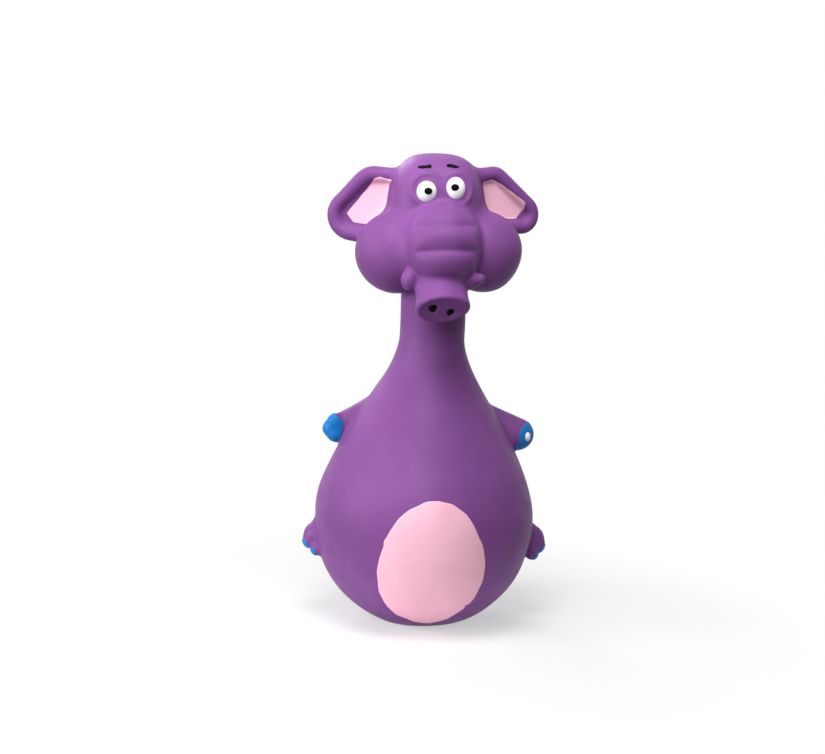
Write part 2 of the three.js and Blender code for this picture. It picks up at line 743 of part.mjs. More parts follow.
// Reed block: a plate across the cup with a half-round post below it, slotted down its flat face
const plateTop = cupTop - CUP_WALL - GAP;
const plateFoot = plateTop - PLATE_THICKNESS;
const postFoot = plateFoot - POST_LENGTH;

function box(width, depth, height, centreX, centreY, footZ) {
  const block = new THREE.BoxGeometry(width, depth, height).translate(centreX, centreY, footZ + height / 2);
  return solidOf(block);
}

function reedBlock() {
  const plate = disc(cupBoreR - GAP, plateFoot, plateTop);
  const round = disc(POST_R, postFoot, plateTop);
  const frontHalf = box(2 * POST_R, POST_R, POST_LENGTH, 0, -POST_R / 2, postFoot);
  const slot = box(SLOT_WIDTH, SLOT_DEPTH, plateTop - postFoot, 0, SLOT_DEPTH / 2, postFoot + CUP_WALL);
  return cut(join(plate, cut(round, frontHalf)), slot);
}

// Reed: a springy tongue over the slot, held at its root by a clamp under the plate
const reedBack = -GAP;
const reedFront = reedBack - REED_THICKNESS;
const reedTop = plateFoot - GAP;

function reed() {
  return box(REED_WIDTH, REED_THICKNESS, REED_LENGTH, 0, (reedBack + reedFront) / 2, reedTop - REED_LENGTH);
}

function reedClamp() {
  const centreY = reedFront - GAP - CLAMP_DEPTH / 2;
  return box(REED_WIDTH + 2 * GAP, CLAMP_DEPTH, CLAMP_HEIGHT, 0, centreY, reedTop - CLAMP_HEIGHT);
}

// Assembly
const toy = new THREE.Group();

addPiece(toy, "body_skin", bodySkin(), latex);
addPiece(toy, "body_fill", bodyFill(), fibre);
addPiece(toy, "belly_patch", bellyPatch(), pinkPaint);
addPiece(toy, "tail", tail(), latex);
addPair(toy, "arm", cut(arm.form(0), bodyForm(GAP)), latex);
addPair(toy, "paw_coat", endCoat(arm, MITT_LENGTH), bluePaint);
addPiece(toy, "nail_coat", nail(), whitePaint);
addPair(toy, "leg", cut(leg.form(0), bodyForm(GAP)), latex);
addPair(toy, "toe_coat", endCoat(leg, TOE_COAT_LENGTH), bluePaint);

addPiece(toy, "squeaker_cup", squeakerCup(), squeakerPlastic);
addPiece(toy, "squeaker_cap", squeakerCap(), squeakerPlastic);
addPiece(toy, "reed_block", reedBlock(), squeakerPlastic);
addPiece(toy, "reed_clamp", reedClamp(), squeakerPlastic);
addPiece(toy, "reed", reed(), reedFilm);

addPiece(toy, "neck_skin", neckSkin(), latex);
addPiece(toy, "neck_fill", neckFill(), fibre);

const head = new THREE.Group();
head.position.z = NECK_TOP_Z;
toy.add(head);

addPiece(head, "head_skin", headSkin(), latex);
addPiece(head, "head_fill", headFill(), fibre);
addPiece(head, "trunk", cut(trunkForm(0), faceForm(GAP)), latex);
addPiece(head, "trunk_tip", trunkTip(), latex);
addPair(head, "nostril_coat", nostrilPaint(), blackPaint);
addPiece(head, "left_tusk", hornTusk(), latex);
addPiece(head, "right_tusk", beadTusk(), latex);
addPair(head, "eye_white", eye(), whitePaint);
addPair(head, "pupil", pupil(), blackPaint);
addPair(head, "brow", brow(), blackPaint);
addPair(head, "ear", ear(), latex);
addPair(head, "ear_lining", earLining(), pinkPaint);

export default toy;
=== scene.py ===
import json
import math
import bpy
import numpy as np
import openvdb
from mathutils import Matrix, Vector
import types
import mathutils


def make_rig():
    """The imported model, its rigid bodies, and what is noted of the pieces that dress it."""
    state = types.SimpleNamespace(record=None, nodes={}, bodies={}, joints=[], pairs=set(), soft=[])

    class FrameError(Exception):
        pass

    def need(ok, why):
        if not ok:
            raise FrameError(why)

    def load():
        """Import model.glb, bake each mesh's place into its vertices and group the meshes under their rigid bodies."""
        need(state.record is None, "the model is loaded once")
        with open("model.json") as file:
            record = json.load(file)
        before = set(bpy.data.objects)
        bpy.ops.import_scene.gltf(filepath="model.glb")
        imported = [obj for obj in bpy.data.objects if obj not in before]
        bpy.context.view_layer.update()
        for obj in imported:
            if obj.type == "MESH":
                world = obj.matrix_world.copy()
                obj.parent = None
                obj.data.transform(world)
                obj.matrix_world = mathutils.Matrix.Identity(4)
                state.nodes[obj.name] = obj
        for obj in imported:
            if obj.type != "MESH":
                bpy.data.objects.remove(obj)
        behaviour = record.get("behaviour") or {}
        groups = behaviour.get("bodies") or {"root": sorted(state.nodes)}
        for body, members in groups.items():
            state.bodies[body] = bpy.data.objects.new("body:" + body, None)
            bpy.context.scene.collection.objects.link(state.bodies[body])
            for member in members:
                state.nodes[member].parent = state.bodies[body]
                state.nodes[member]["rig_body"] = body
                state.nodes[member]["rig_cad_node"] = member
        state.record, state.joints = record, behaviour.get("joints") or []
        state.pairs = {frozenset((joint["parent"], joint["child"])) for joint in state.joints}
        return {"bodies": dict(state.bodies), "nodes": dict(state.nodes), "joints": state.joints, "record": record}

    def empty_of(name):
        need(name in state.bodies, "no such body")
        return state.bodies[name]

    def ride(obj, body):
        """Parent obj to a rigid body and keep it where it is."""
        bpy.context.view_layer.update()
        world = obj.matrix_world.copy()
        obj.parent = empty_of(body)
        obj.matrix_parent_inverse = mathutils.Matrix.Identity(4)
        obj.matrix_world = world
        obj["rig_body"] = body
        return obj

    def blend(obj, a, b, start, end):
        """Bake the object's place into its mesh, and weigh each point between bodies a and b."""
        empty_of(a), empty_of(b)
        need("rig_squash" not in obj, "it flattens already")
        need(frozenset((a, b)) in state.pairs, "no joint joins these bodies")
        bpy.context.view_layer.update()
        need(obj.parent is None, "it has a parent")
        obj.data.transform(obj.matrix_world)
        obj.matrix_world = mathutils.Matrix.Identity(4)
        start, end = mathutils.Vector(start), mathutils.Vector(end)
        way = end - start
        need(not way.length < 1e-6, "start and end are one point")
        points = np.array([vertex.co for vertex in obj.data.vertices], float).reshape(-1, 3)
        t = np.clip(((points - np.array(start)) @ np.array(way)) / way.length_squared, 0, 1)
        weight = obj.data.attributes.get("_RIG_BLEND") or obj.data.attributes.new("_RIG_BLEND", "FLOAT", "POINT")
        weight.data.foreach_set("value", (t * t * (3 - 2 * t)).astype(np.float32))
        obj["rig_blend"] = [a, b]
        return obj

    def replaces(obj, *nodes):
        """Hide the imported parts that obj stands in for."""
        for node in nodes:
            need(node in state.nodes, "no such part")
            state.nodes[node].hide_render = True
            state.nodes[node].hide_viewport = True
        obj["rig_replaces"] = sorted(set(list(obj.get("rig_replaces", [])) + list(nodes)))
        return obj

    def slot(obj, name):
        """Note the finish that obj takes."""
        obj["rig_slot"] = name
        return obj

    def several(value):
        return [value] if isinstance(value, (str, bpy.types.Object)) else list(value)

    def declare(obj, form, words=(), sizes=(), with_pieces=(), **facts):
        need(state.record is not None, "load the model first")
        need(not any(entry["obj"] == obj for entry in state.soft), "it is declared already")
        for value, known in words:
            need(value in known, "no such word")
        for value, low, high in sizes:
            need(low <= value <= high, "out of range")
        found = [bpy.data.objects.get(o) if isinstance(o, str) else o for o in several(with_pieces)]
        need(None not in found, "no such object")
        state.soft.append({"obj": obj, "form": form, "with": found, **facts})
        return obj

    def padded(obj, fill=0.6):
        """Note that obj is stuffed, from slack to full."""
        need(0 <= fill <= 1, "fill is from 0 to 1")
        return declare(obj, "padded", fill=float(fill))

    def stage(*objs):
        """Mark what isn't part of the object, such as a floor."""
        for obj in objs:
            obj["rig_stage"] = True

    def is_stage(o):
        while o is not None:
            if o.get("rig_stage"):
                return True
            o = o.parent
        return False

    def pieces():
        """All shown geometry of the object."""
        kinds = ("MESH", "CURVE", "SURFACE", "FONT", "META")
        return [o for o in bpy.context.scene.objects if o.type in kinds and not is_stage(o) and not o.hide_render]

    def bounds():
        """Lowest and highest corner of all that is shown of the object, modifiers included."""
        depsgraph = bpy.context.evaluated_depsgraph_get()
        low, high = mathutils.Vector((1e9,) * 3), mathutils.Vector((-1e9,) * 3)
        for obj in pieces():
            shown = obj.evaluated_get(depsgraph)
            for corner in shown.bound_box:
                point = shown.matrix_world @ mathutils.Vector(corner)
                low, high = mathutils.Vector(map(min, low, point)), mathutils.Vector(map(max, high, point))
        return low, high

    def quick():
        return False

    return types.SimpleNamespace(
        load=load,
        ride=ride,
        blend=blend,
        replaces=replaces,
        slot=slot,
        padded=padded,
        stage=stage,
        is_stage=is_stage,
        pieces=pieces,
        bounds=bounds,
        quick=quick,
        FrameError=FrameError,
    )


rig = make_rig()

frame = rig.load()
cad_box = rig.bounds()

# Body and neck: one hollow latex moulding, poured in a two-part mould. A pear-shaped belly stands on a
# narrow flat and draws in to a straight neck. The squeaker's hole is moulded through the flat.
BASE_FLAT_RADIUS = 0.0155
BASE_SLOPE_ANGLE = math.radians(22)
BASE_PULL = 0.018
BASE_EDGE = 0.0016
BELLY_RADIUS = 0.0446
BELLY_HEIGHT = 0.044
BELLY_PULL = 0.024
FLARE_PULL = 0.0165
NECK_RADIUS = 0.0131
NECK_START = 0.117
NECK_TOP = 0.150
SEAT_RADIUS = 0.0128
SEAT_DEPTH = 0.0021
HOLE_RADIUS = 0.0100
HOLE_DEPTH = 0.0046
HOLE_EDGE = 0.0005
BOWL_POINTS = 120
SHOULDER_POINTS = 160
ABOVE_TOY = 0.2


def bezier(a, b, c, d, steps):
    """Points on a Bezier curve, as rows of (radius, height)."""
    t = np.linspace(0, 1, steps)[:, None]
    a, b, c, d = (np.array(point) for point in (a, b, c, d))
    return (1 - t) ** 3 * a + 3 * (1 - t) ** 2 * t * b + 3 * (1 - t) * t ** 2 * c + t ** 3 * d


bowl_pull = (
    BASE_FLAT_RADIUS + BASE_PULL * math.cos(BASE_SLOPE_ANGLE),
    BASE_PULL * math.sin(BASE_SLOPE_ANGLE),
)
bowl = bezier(
    (BASE_FLAT_RADIUS, 0),
    bowl_pull,
    (BELLY_RADIUS, BELLY_HEIGHT - BELLY_PULL),
    (BELLY_RADIUS, BELLY_HEIGHT),
    BOWL_POINTS,
)
shoulder = bezier(
    (BELLY_RADIUS, BELLY_HEIGHT),
    (BELLY_RADIUS, BELLY_HEIGHT + BELLY_PULL),
    (NECK_RADIUS, NECK_START - FLARE_PULL),
    (NECK_RADIUS, NECK_START),
    SHOULDER_POINTS,
)
profile = np.concatenate([bowl, shoulder[1:], [(NECK_RADIUS, ABOVE_TOY)]])
profile_slope = np.gradient(profile[:, 0], profile[:, 1])


def joined(a, b, fillet):
    """Distance to two forms run together with a fillet where they meet."""
    near = np.maximum(fillet - np.abs(a - b), 0) / fillet
    return np.minimum(a, b) - near * near * fillet / 4


def shared(a, b, round_edge):
    """Distance to what two forms have in common, with the edge between them rounded."""
    return -joined(-a, -b, round_edge)


def body_form(x, y, z):
    """Distance to the body and neck, less the squeaker's seat and hole."""
    across = np.hypot(x, y)
    reach = np.interp(z, profile[:, 1], profile[:, 0])
    slope = np.interp(z, profile[:, 1], profile_slope)
    side = (across - reach) / np.sqrt(1 + slope ** 2)
    solid = shared(side, np.maximum(-z, z - NECK_TOP), BASE_EDGE)
    seat = np.maximum(across - SEAT_RADIUS, z - SEAT_DEPTH)
    hole = np.maximum(across - HOLE_RADIUS, z - HOLE_DEPTH)
    return shared(solid, -np.minimum(seat, hole), HOLE_EDGE)


# Arms: two solid latex stubs moulded with the body, one on each side. The right arm ends in three blunt
# fingers and the left one in a round mitt, and both meet the body in a tight fillet.
LEFT_ARM = ((0.0240, 0.0060, 0.0820), (0.0377, 0.0055, 0.0767), 0.0068, 0.0066)
RIGHT_ARM = ((0.0240, 0.0060, 0.0838), (0.0360, 0.0055, 0.0778), 0.0056, 0.0050)
ARM_FILLET = 0.0022
RIGHT_FINGERS = (
    ((-0.0374, 0.0030, 0.0806), 0.0029),
    ((-0.0394, 0.0045, 0.0770), 0.0027),
    ((-0.0374, 0.0035, 0.0747), 0.0026),
)
FINGER_FILLET = 0.0016


def ball(x, y, z, centre, radius):
    return np.sqrt((x - centre[0]) ** 2 + (y - centre[1]) ** 2 + (z - centre[2]) ** 2) - radius


def taper(x, y, z, start, end, start_radius, end_radius):
    """Distance to a straight stub with round ends, thicker at one of them."""
    run = [end[i] - start[i] for i in range(3)]
    length = sum(step * step for step in run)
    along = (x - start[0]) * run[0] + (y - start[1]) * run[1] + (z - start[2]) * run[2]
    along = np.clip(along / length, 0, 1)
    off_x = x - start[0] - along * run[0]
    off_y = y - start[1] - along * run[1]
    off_z = z - start[2] - along * run[2]
    radius = start_radius + (end_radius - start_radius) * along
    return np.sqrt(off_x ** 2 + off_y ** 2 + off_z ** 2) - radius


def arm_form(x, y, z):
    side = np.abs(x)
    arm = np.where(x > 0, taper(side, y, z, *LEFT_ARM), taper(side, y, z, *RIGHT_ARM))
    for centre, radius in RIGHT_FINGERS:
        arm = joined(arm, ball(x, y, z, centre, radius), FINGER_FILLET)
    return arm


# Legs: two shorter solid stubs low on the sides of the belly, with three blunt toes each. They are moulded
# with the body and only just clear its outline.
LEFT_LEG = ((0.0345, 0.0040, 0.0382), (0.0448, 0.0040, 0.0326), 0.0086, 0.0064)
RIGHT_LEG = ((0.0345, 0.0040, 0.0386), (0.0428, 0.0040, 0.0328), 0.0086, 0.0058)
LEFT_LEG_REACH = 0.0024
LEG_FILLET = 0.0018
TOES = (
    ((0.0459, 0.0026, 0.0306), 0.0028),
    ((0.0430, -0.0012, 0.0282), 0.0027),
    ((0.0433, 0.0072, 0.0284), 0.0027),
)
TOE_FILLET = 0.0016


def leg_form(x, y, z):
    side = np.abs(x)
    leg = np.where(x > 0, taper(side, y, z, *LEFT_LEG), taper(side, y, z, *RIGHT_LEG))
    reach = np.where(x > 0, LEFT_LEG_REACH, 0)
    for centre, radius in TOES:
        leg = joined(leg, ball(side - reach, y, z, centre, radius), TOE_FILLET)
    return leg


# Tail: a thin solid stub of latex low on the back, moulded with the body. It hangs almost straight down and
# narrows to a round end.
TAIL_ROOT = (0, 0.0440, 0.0340)
TAIL_END = (0, 0.0455, 0.0205)
TAIL_ROOT_RADIUS = 0.0026
TAIL_END_RADIUS = 0.0015
TAIL_FILLET = 0.0025


def tail_form(x, y, z):
    return taper(x, y, z, TAIL_ROOT, TAIL_END, TAIL_ROOT_RADIUS, TAIL_END_RADIUS)


# Head: the top of the same moulding, hollow and stuffed, and set a little askew on the neck. A flat-topped
# skull runs into a round jaw with two full cheeks, and each eye sits in a low raised ring.
HEAD_ROLL = math.radians(2.7)
HEAD_MIDDLE = 0.160
SKULL_CENTRE = (-0.0003, 0, 0.1660)
SKULL_HALF = (0.0184, 0.0185, 0.0240)
SKULL_SQUARENESS = 3.1
SKULL_FACE_SQUARENESS = 2.9
SKULL_BACK_SQUARENESS = 2.1
SKULL_TURN = 0.024
JAW_CENTRE = (0, 0, 0.1536)
JAW_HALF = (0.0200, 0.0175, 0.0196)
JAW_FILLET = 0.008
CHEEK_CENTRE = (0.0173, -0.0060, 0.1513)
CHEEK_RADIUS = 0.0162
CHEEK_FILLET = 0.0035
EYE_SPREAD = 0.00575
EYE_HEIGHT = 0.1766
EYE_RING_RADIUS = 0.0063
EYE_RING_HEIGHT = 0.0008
EYE_RING_WIDTH = 0.0012
EYE_RING_LEAN = 0.5
EYE_RING_INNER = 0.45
EYE_RING_FADE = 0.007
EYE_RING_BACK = 0.008
HEAD_FILLET = 0.002
OVAL_GUARD = 1e-3


def from_oval(u, v, w, scaled):
    """Distance to an oval, from a place's offset to its middle and that offset in half widths of it."""
    return np.sqrt(u * u + v * v + w * w) * (1 - 1 / np.maximum(scaled, OVAL_GUARD))


def oval(x, y, z, centre, half, squareness=2.0):
    """Distance to an oval whose sides are squarer than an ellipse's if squareness is over 2."""
    u, v, w = (np.abs(axis - middle) for axis, middle in zip((x, y, z), centre))
    scaled = (u / half[0]) ** squareness + (v / half[1]) ** squareness + (w / half[2]) ** squareness
    return from_oval(u, v, w, scaled ** (1 / squareness))


def on_head(x, y, z):
    """Place in the head's own upright frame."""
    height = z - HEAD_MIDDLE
    upright_x = x * math.cos(HEAD_ROLL) + height * math.sin(HEAD_ROLL)
    upright_z = height * math.cos(HEAD_ROLL) - x * math.sin(HEAD_ROLL)
    return upright_x, y, upright_z + HEAD_MIDDLE


def skull_form(x, y, z):
    """Distance to the skull, which is squarest as seen from the front and roundest behind."""
    u, v, w = (np.abs(axis - middle) for axis, middle in zip((x, y, z), SKULL_CENTRE))
    outline = (u / SKULL_HALF[0]) ** SKULL_SQUARENESS + (w / SKULL_HALF[2]) ** SKULL_SQUARENESS
    backward = np.clip(0.5 + y / SKULL_TURN, 0, 1)
    squareness = SKULL_FACE_SQUARENESS + (SKULL_BACK_SQUARENESS - SKULL_FACE_SQUARENESS) * backward
    scaled = outline ** (squareness / SKULL_SQUARENESS) + (v / SKULL_HALF[1]) ** squareness
    return from_oval(u, v, w, scaled ** (1 / squareness))


def head_form(x, y, z):
    x, y, z = on_head(x, y, z)
    side = np.abs(x)
    skull = skull_form(x, y, z)
    jaw = oval(x, y, z, JAW_CENTRE, JAW_HALF)
    head = joined(skull, jaw, JAW_FILLET)
    head = joined(head, ball(side, y, z, CHEEK_CENTRE, CHEEK_RADIUS), CHEEK_FILLET)
    from_eye = np.hypot(side - EYE_SPREAD, z - EYE_HEIGHT)
    outer = side - EYE_SPREAD + EYE_RING_LEAN * (z - EYE_HEIGHT)
    strength = np.clip(EYE_RING_INNER + outer / EYE_RING_FADE, 0, 1)
    strength = strength * np.clip(-y / EYE_RING_BACK, 0, 1)
    ring = np.exp(-(((from_eye - EYE_RING_RADIUS) / EYE_RING_WIDTH) ** 2))
    return head - EYE_RING_HEIGHT * strength * ring


# Trunk: a solid latex bulge on the front of the face, moulded with the head. Two creases across it part
# three rolls.
TRUNK_CENTRE = (0, -0.0190, 0.1550)
TRUNK_HALF = (0.0149, 0.0185, 0.0166)
TRUNK_SQUARENESS = 2.25
TRUNK_SOFT_FILLET = 0.0055
TRUNK_TIGHT_FILLET = 0.0024
TRUNK_FILLET_TURN = 0.012
TRUNK_BROW_LOW = 0.160
TRUNK_BROW_FADE = 0.008
CREASES = (0.1636, 0.1542)
CREASE_DEPTH = 0.0016
CREASE_TUCK = 0.0044
CREASE_STEP = 0.0016
CREASE_SOFT = 0.0007
CREASE_ARCH = 6.0
CREASE_REACH = 0.0124
CREASE_FADE = 1.6
CREASE_FRONT = 0.017
CREASE_FRONT_FADE = 0.008
CREASE_LEAST_TUCK = 0.15


def trunk_fillet(x, z):
    """Fillet round the trunk: soft at the toy's right cheek, tight at its left cheek and the brow."""
    leftward = 0.5 + x / TRUNK_FILLET_TURN
    upward = (z - TRUNK_BROW_LOW) / TRUNK_BROW_FADE
    share = np.clip(np.maximum(leftward, upward), 0, 1)
    return TRUNK_SOFT_FILLET + (TRUNK_TIGHT_FILLET - TRUNK_SOFT_FILLET) * share


def trunk_form(x, y, z):
    x, y, z = on_head(x, y, z)
    trunk = oval(x, y, z, TRUNK_CENTRE, TRUNK_HALF, TRUNK_SQUARENESS)
    inward = 1 - (x / CREASE_REACH) ** 2
    front = np.clip((-y - CREASE_FRONT) / CREASE_FRONT_FADE, 0, 1)
    front = front * np.clip(CREASE_FADE * inward, 0, 1)
    for height in CREASES:
        above = z - height + CREASE_ARCH * x * x
        tuck = CREASE_TUCK * np.clip(inward, CREASE_LEAST_TUCK, 1)
        softened = np.sqrt(above ** 2 + CREASE_SOFT ** 2) - CREASE_SOFT
        depth = np.exp(-softened / np.where(above > 0, tuck, CREASE_STEP))
        trunk = trunk + front * CREASE_DEPTH * depth
    return trunk


# Trunk tip: a short thick drum under the bulge, part of the same moulding. It ends in a flat oval face with
# a thin rolled lip.
TIP_CENTRE = (-0.0013, -0.0338, 0.1308)
TIP_DIP = math.radians(45)
TIP_RADIUS = 0.0109
TIP_NARROWING = 0.0008
TIP_HEIGHT_RATIO = 0.78
TIP_LENGTH = 0.0170
TIP_EDGE = 0.0022
TIP_DISH = 0.0006
TIP_DISH_SHARE = 0.86
TIP_WAIST_LENGTH = 0.005
TIP_BACK_EDGE = 0.004
TIP_FILLET = 0.0026
TIP_OUT = (0, -math.cos(TIP_DIP), -math.sin(TIP_DIP))
TIP_UP = (0, -math.sin(TIP_DIP), math.cos(TIP_DIP))
NOSTRILS = (("left", 0.0031, -0.0025, 0.0015), ("right", -0.0040, 0.0001, 0.0018))
NOSTRIL_STRETCH = 1.35
NOSTRIL_DEPTH = 0.0013


def on_tip(x, y, z):
    """Place on the tip's face: across, up and out from it."""
    rel = (x - TIP_CENTRE[0], y - TIP_CENTRE[1], z - TIP_CENTRE[2])
    up = rel[1] * TIP_UP[1] + rel[2] * TIP_UP[2]
    out = rel[1] * TIP_OUT[1] + rel[2] * TIP_OUT[2]
    return rel[0], up, out


def tip_form(x, y, z):
    x, y, z = on_head(x, y, z)
    across, up, out = on_tip(x, y, z)
    radius = np.hypot(across, up / TIP_HEIGHT_RATIO)
    waist = TIP_NARROWING * np.clip(-out / TIP_WAIST_LENGTH, 0, 1)
    side = radius - TIP_RADIUS + waist
    dish = TIP_DISH * np.clip(1 - (radius / (TIP_DISH_SHARE * TIP_RADIUS)) ** 4, 0, 1)
    face = out + dish
    for name, spread, rise, width in NOSTRILS:
        from_middle = np.hypot(across - spread, (up - rise) / NOSTRIL_STRETCH) / width
        face = face + NOSTRIL_DEPTH * np.exp(-(from_middle ** 4))
    drum = shared(side, face, TIP_EDGE)
    return shared(drum, -out - TIP_LENGTH, TIP_BACK_EDGE)


# Tusks: two small blunt nubs of latex between the trunk and the cheeks, moulded with the head. The left one
# is a cone that points outwards and forwards, and the right one is a bead.
LEFT_TUSK = ((0.0101, -0.0248, 0.1415), (0.0137, -0.0278, 0.1424), 0.0035, 0.0019)
RIGHT_TUSK_CENTRE = (-0.0136, -0.0252, 0.1420)
RIGHT_TUSK_HALF = (0.0033, 0.0034, 0.0041)
TUSK_FILLET = 0.0020


def tusk_form(x, y, z):
    x, y, z = on_head(x, y, z)
    return np.minimum(taper(x, y, z, *LEFT_TUSK), oval(x, y, z, RIGHT_TUSK_CENTRE, RIGHT_TUSK_HALF))


# Ears: two flat latex flaps, solid and bendable, moulded with the head and swept back. A thick rolled rim
# runs round a shallow pocket in the front of each.
EAR_ROOT = (0.0160, -0.0005)
EAR_SWEEP = math.radians(20)
LEFT_EAR_CORNERS = ((-0.0020, 0.1761), (0.0069, 0.1769), (0.0200, 0.1653), (0.0037, 0.1655))
LEFT_EAR_ROUND = 0.0080
RIGHT_EAR_CORNERS = ((-0.0020, 0.1739), (0.0090, 0.1747), (0.0187, 0.1657), (0.0037, 0.1633))
RIGHT_EAR_ROUND = 0.0105
EAR_RIM_RADIUS = 0.0030
EAR_FLAP_HALF = 0.0013
EAR_FLAP_BACK = 0.0010
EAR_FLAP_EDGE = 0.001
EAR_POCKET_FILLET = 0.0012
EAR_FILLET = 0.0030


def on_ear(x, y):
    """Place on an ear: along it from the head, and in front of its middle."""
    side = np.abs(x) - EAR_ROOT[0]
    back = y - EAR_ROOT[1]
    along = side * math.cos(EAR_SWEEP) + back * math.sin(EAR_SWEEP)
    ahead = side * math.sin(EAR_SWEEP) - back * math.cos(EAR_SWEEP)
    return along, ahead


def rounded_outline(along, z, corners, radius):
    """Distance from a flat outline whose corners are rounded outwards by a radius, below 0 inside it."""
    nearest = np.full(along.shape, 1.0, dtype=along.dtype)
    inside = np.ones(along.shape, dtype=bool)
    for start, end in zip(corners, corners[1:] + corners[:1]):
        run = (end[0] - start[0], end[1] - start[1])
        off = (along - start[0], z - start[1])
        share = np.clip((off[0] * run[0] + off[1] * run[1]) / (run[0] ** 2 + run[1] ** 2), 0, 1)
        nearest = np.minimum(nearest, np.hypot(off[0] - share * run[0], off[1] - share * run[1]))
        inside &= off[0] * run[1] - off[1] * run[0] > 0
    return np.where(inside, -nearest, nearest) - radius


def ear_form(x, y, z):
    x, y, z = on_head(x, y, z)
    along, ahead = on_ear(x, y)
    left = rounded_outline(along, z, LEFT_EAR_CORNERS, LEFT_EAR_ROUND)
    right = rounded_outline(along, z, RIGHT_EAR_CORNERS, RIGHT_EAR_ROUND)
    outline = np.where(x > 0, left, right)
    rim = np.hypot(outline + EAR_RIM_RADIUS, ahead) - EAR_RIM_RADIUS
    flap = shared(outline + EAR_RIM_RADIUS, np.abs(ahead + EAR_FLAP_BACK) - EAR_FLAP_HALF, EAR_FLAP_EDGE)
    return joined(rim, flap, EAR_POCKET_FILLET)


# Latex skin: all of those forms run into each other in one pour, so they are cast as one surface and then
# parted where the toy bends. Each part is closed behind its edge and keeps the surface's own normals.
SKIN_CELL = 0.0012 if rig.quick() else 0.0007
SKIN_FORMS = (
    ("body_skin", body_form, None),
    ("arm", arm_form, ARM_FILLET),
    ("leg", leg_form, LEG_FILLET),
    ("tail", tail_form, TAIL_FILLET),
    ("head_skin", head_form, HEAD_FILLET),
    ("trunk", trunk_form, trunk_fillet),
    ("trunk_tip", tip_form, TIP_FILLET),
    ("tusk", tusk_form, TUSK_FILLET),
    ("ear", ear_form, EAR_FILLET),
)
UNEVEN_HEIGHT = 0.00012
UNEVEN_WAVES = ((180, 0, 95, 0), (0, 140, -120, 1.3), (160, -90, 230, 0))
SQUASH_LOW = 0.045
SQUASH_HIGH = 0.072
NECK_LOW = 0.098
NECK_MIDDLE = 0.118
NECK_HIGH = 0.133
EAR_SIDES = (("left_ear", 1), ("right_ear", -1))
EAR_FOLD_START = (0.0245, 0.0025, 0.17)
EAR_FOLD_END = (0.0345, 0.0060, 0.17)
WALL = 0.0022
HOLLOW_CELL = 0.0018
HOLLOW_GAP = 0.0008
HOLLOW_EDGE = 0.002
SEAM_INSET = 0.0005
HUB_LEAST_DEPTH = 0.0010
HUB_DEPTH_SHARE = 0.7
HUB_DEPTH_WEIGHT = 10
HUB_WIDEST_LOOP = 0.012
HUB_REACH = 0.014
HUB_REACH_TRIES = 29
HUB_RISE = 0.002
HUB_RISE_TRIES = 5
TUSK_CLAIM = 0.0010
TRUNK_SKIN_LOW = 0.1440
OUT_OF_REACH = 0.02
SKIN_BOX = ((-0.0530, -0.0470, -0.0020), (0.0530, 0.0490, 0.1935))
HOLLOWS = {
    "body_skin": (body_form, 0, NECK_LOW),
    "neck_low": (body_form, NECK_LOW, NECK_MIDDLE),
    "neck_high": (body_form, NECK_MIDDLE, NECK_HIGH),
    "head_skin": (head_form, NECK_HIGH, ABOVE_TOY),
}


def waves(x, y, z, rows):
    """Sines added up, from rows of how fast each one runs along x, y and z, and where it starts."""
    return sum(np.sin(row[0] * x + row[1] * y + row[2] * z + row[3]) for row in rows)


def skin(x, y, z):
    """Distance to the body with every other form joined on by its own fillet, in slow waves."""
    surface = body_form(x, y, z)
    for name, form, fillet in SKIN_FORMS[1:]:
        width = fillet(x, z) if callable(fillet) else fillet
        surface = joined(surface, form(x, y, z), width)
    return surface + UNEVEN_HEIGHT * waves(x, y, z, UNEVEN_WAVES)


def hollow_field(name, inset=0.0):
    """The field of the room inside a hollow part of the skin, or of a form set in from its wall."""
    form, low, high = HOLLOWS[name]

    def field(x, y, z):
        ends = np.maximum(low + HOLLOW_GAP - z, z - high + HOLLOW_GAP)
        return shared(form(x, y, z) + WALL, ends, HOLLOW_EDGE) + inset

    return field


def cast(field, box, cell):
    """The surface where a field is 0 in a box, as points and four-sided faces, from a grid of values."""
    low, high = box
    block = 14
    reach = 1.1 * block * cell
    blocks = [int(math.ceil((high[i] - low[i]) / cell / block)) for i in range(3)]
    size = [count * block + 1 for count in blocks]
    axes = [(low[i] + cell * np.arange(size[i])).astype(np.float32) for i in range(3)]
    middles = [axis[block // 2 :: block][: blocks[i]] for i, axis in enumerate(axes)]
    middle_field = field(*np.meshgrid(*middles, indexing="ij"))
    values = np.repeat(np.repeat(np.repeat(middle_field, block, 0), block, 1), block, 2)
    values = np.pad(values, ((0, 1), (0, 1), (0, 1)), mode="edge").astype(np.float32)
    for i, j, k in np.argwhere(np.abs(middle_field) < reach):
        spans = [slice(n * block, n * block + block + 1) for n in (i, j, k)]
        grid = np.meshgrid(*(axis[span] for axis, span in zip(axes, spans)), indexing="ij")
        values[spans[0], spans[1], spans[2]] = field(*grid)
    grid = openvdb.FloatGrid(1.0)
    grid.copyFromArray(values)
    points, faces = grid.convertToQuads(isovalue=0)
    return np.array(low) + cell * points, faces.astype(np.int64)


def slope_of(field, points):
    """A field's value and its slope at each point."""
    step = 0.00012
    x, y, z = (points[:, i].copy() for i in range(3))
    slope = np.stack(
        [
            field(x + step, y, z) - field(x - step, y, z),
            field(x, y + step, z) - field(x, y - step, z),
            field(x, y, z + step) - field(x, y, z - step),
        ],
        1,
    )
    return field(x, y, z), slope / (2 * step)


def unit(rows):
    """Each row scaled to a length of 1."""
    return rows / np.maximum(np.linalg.norm(rows, axis=1), 1e-12)[:, None]


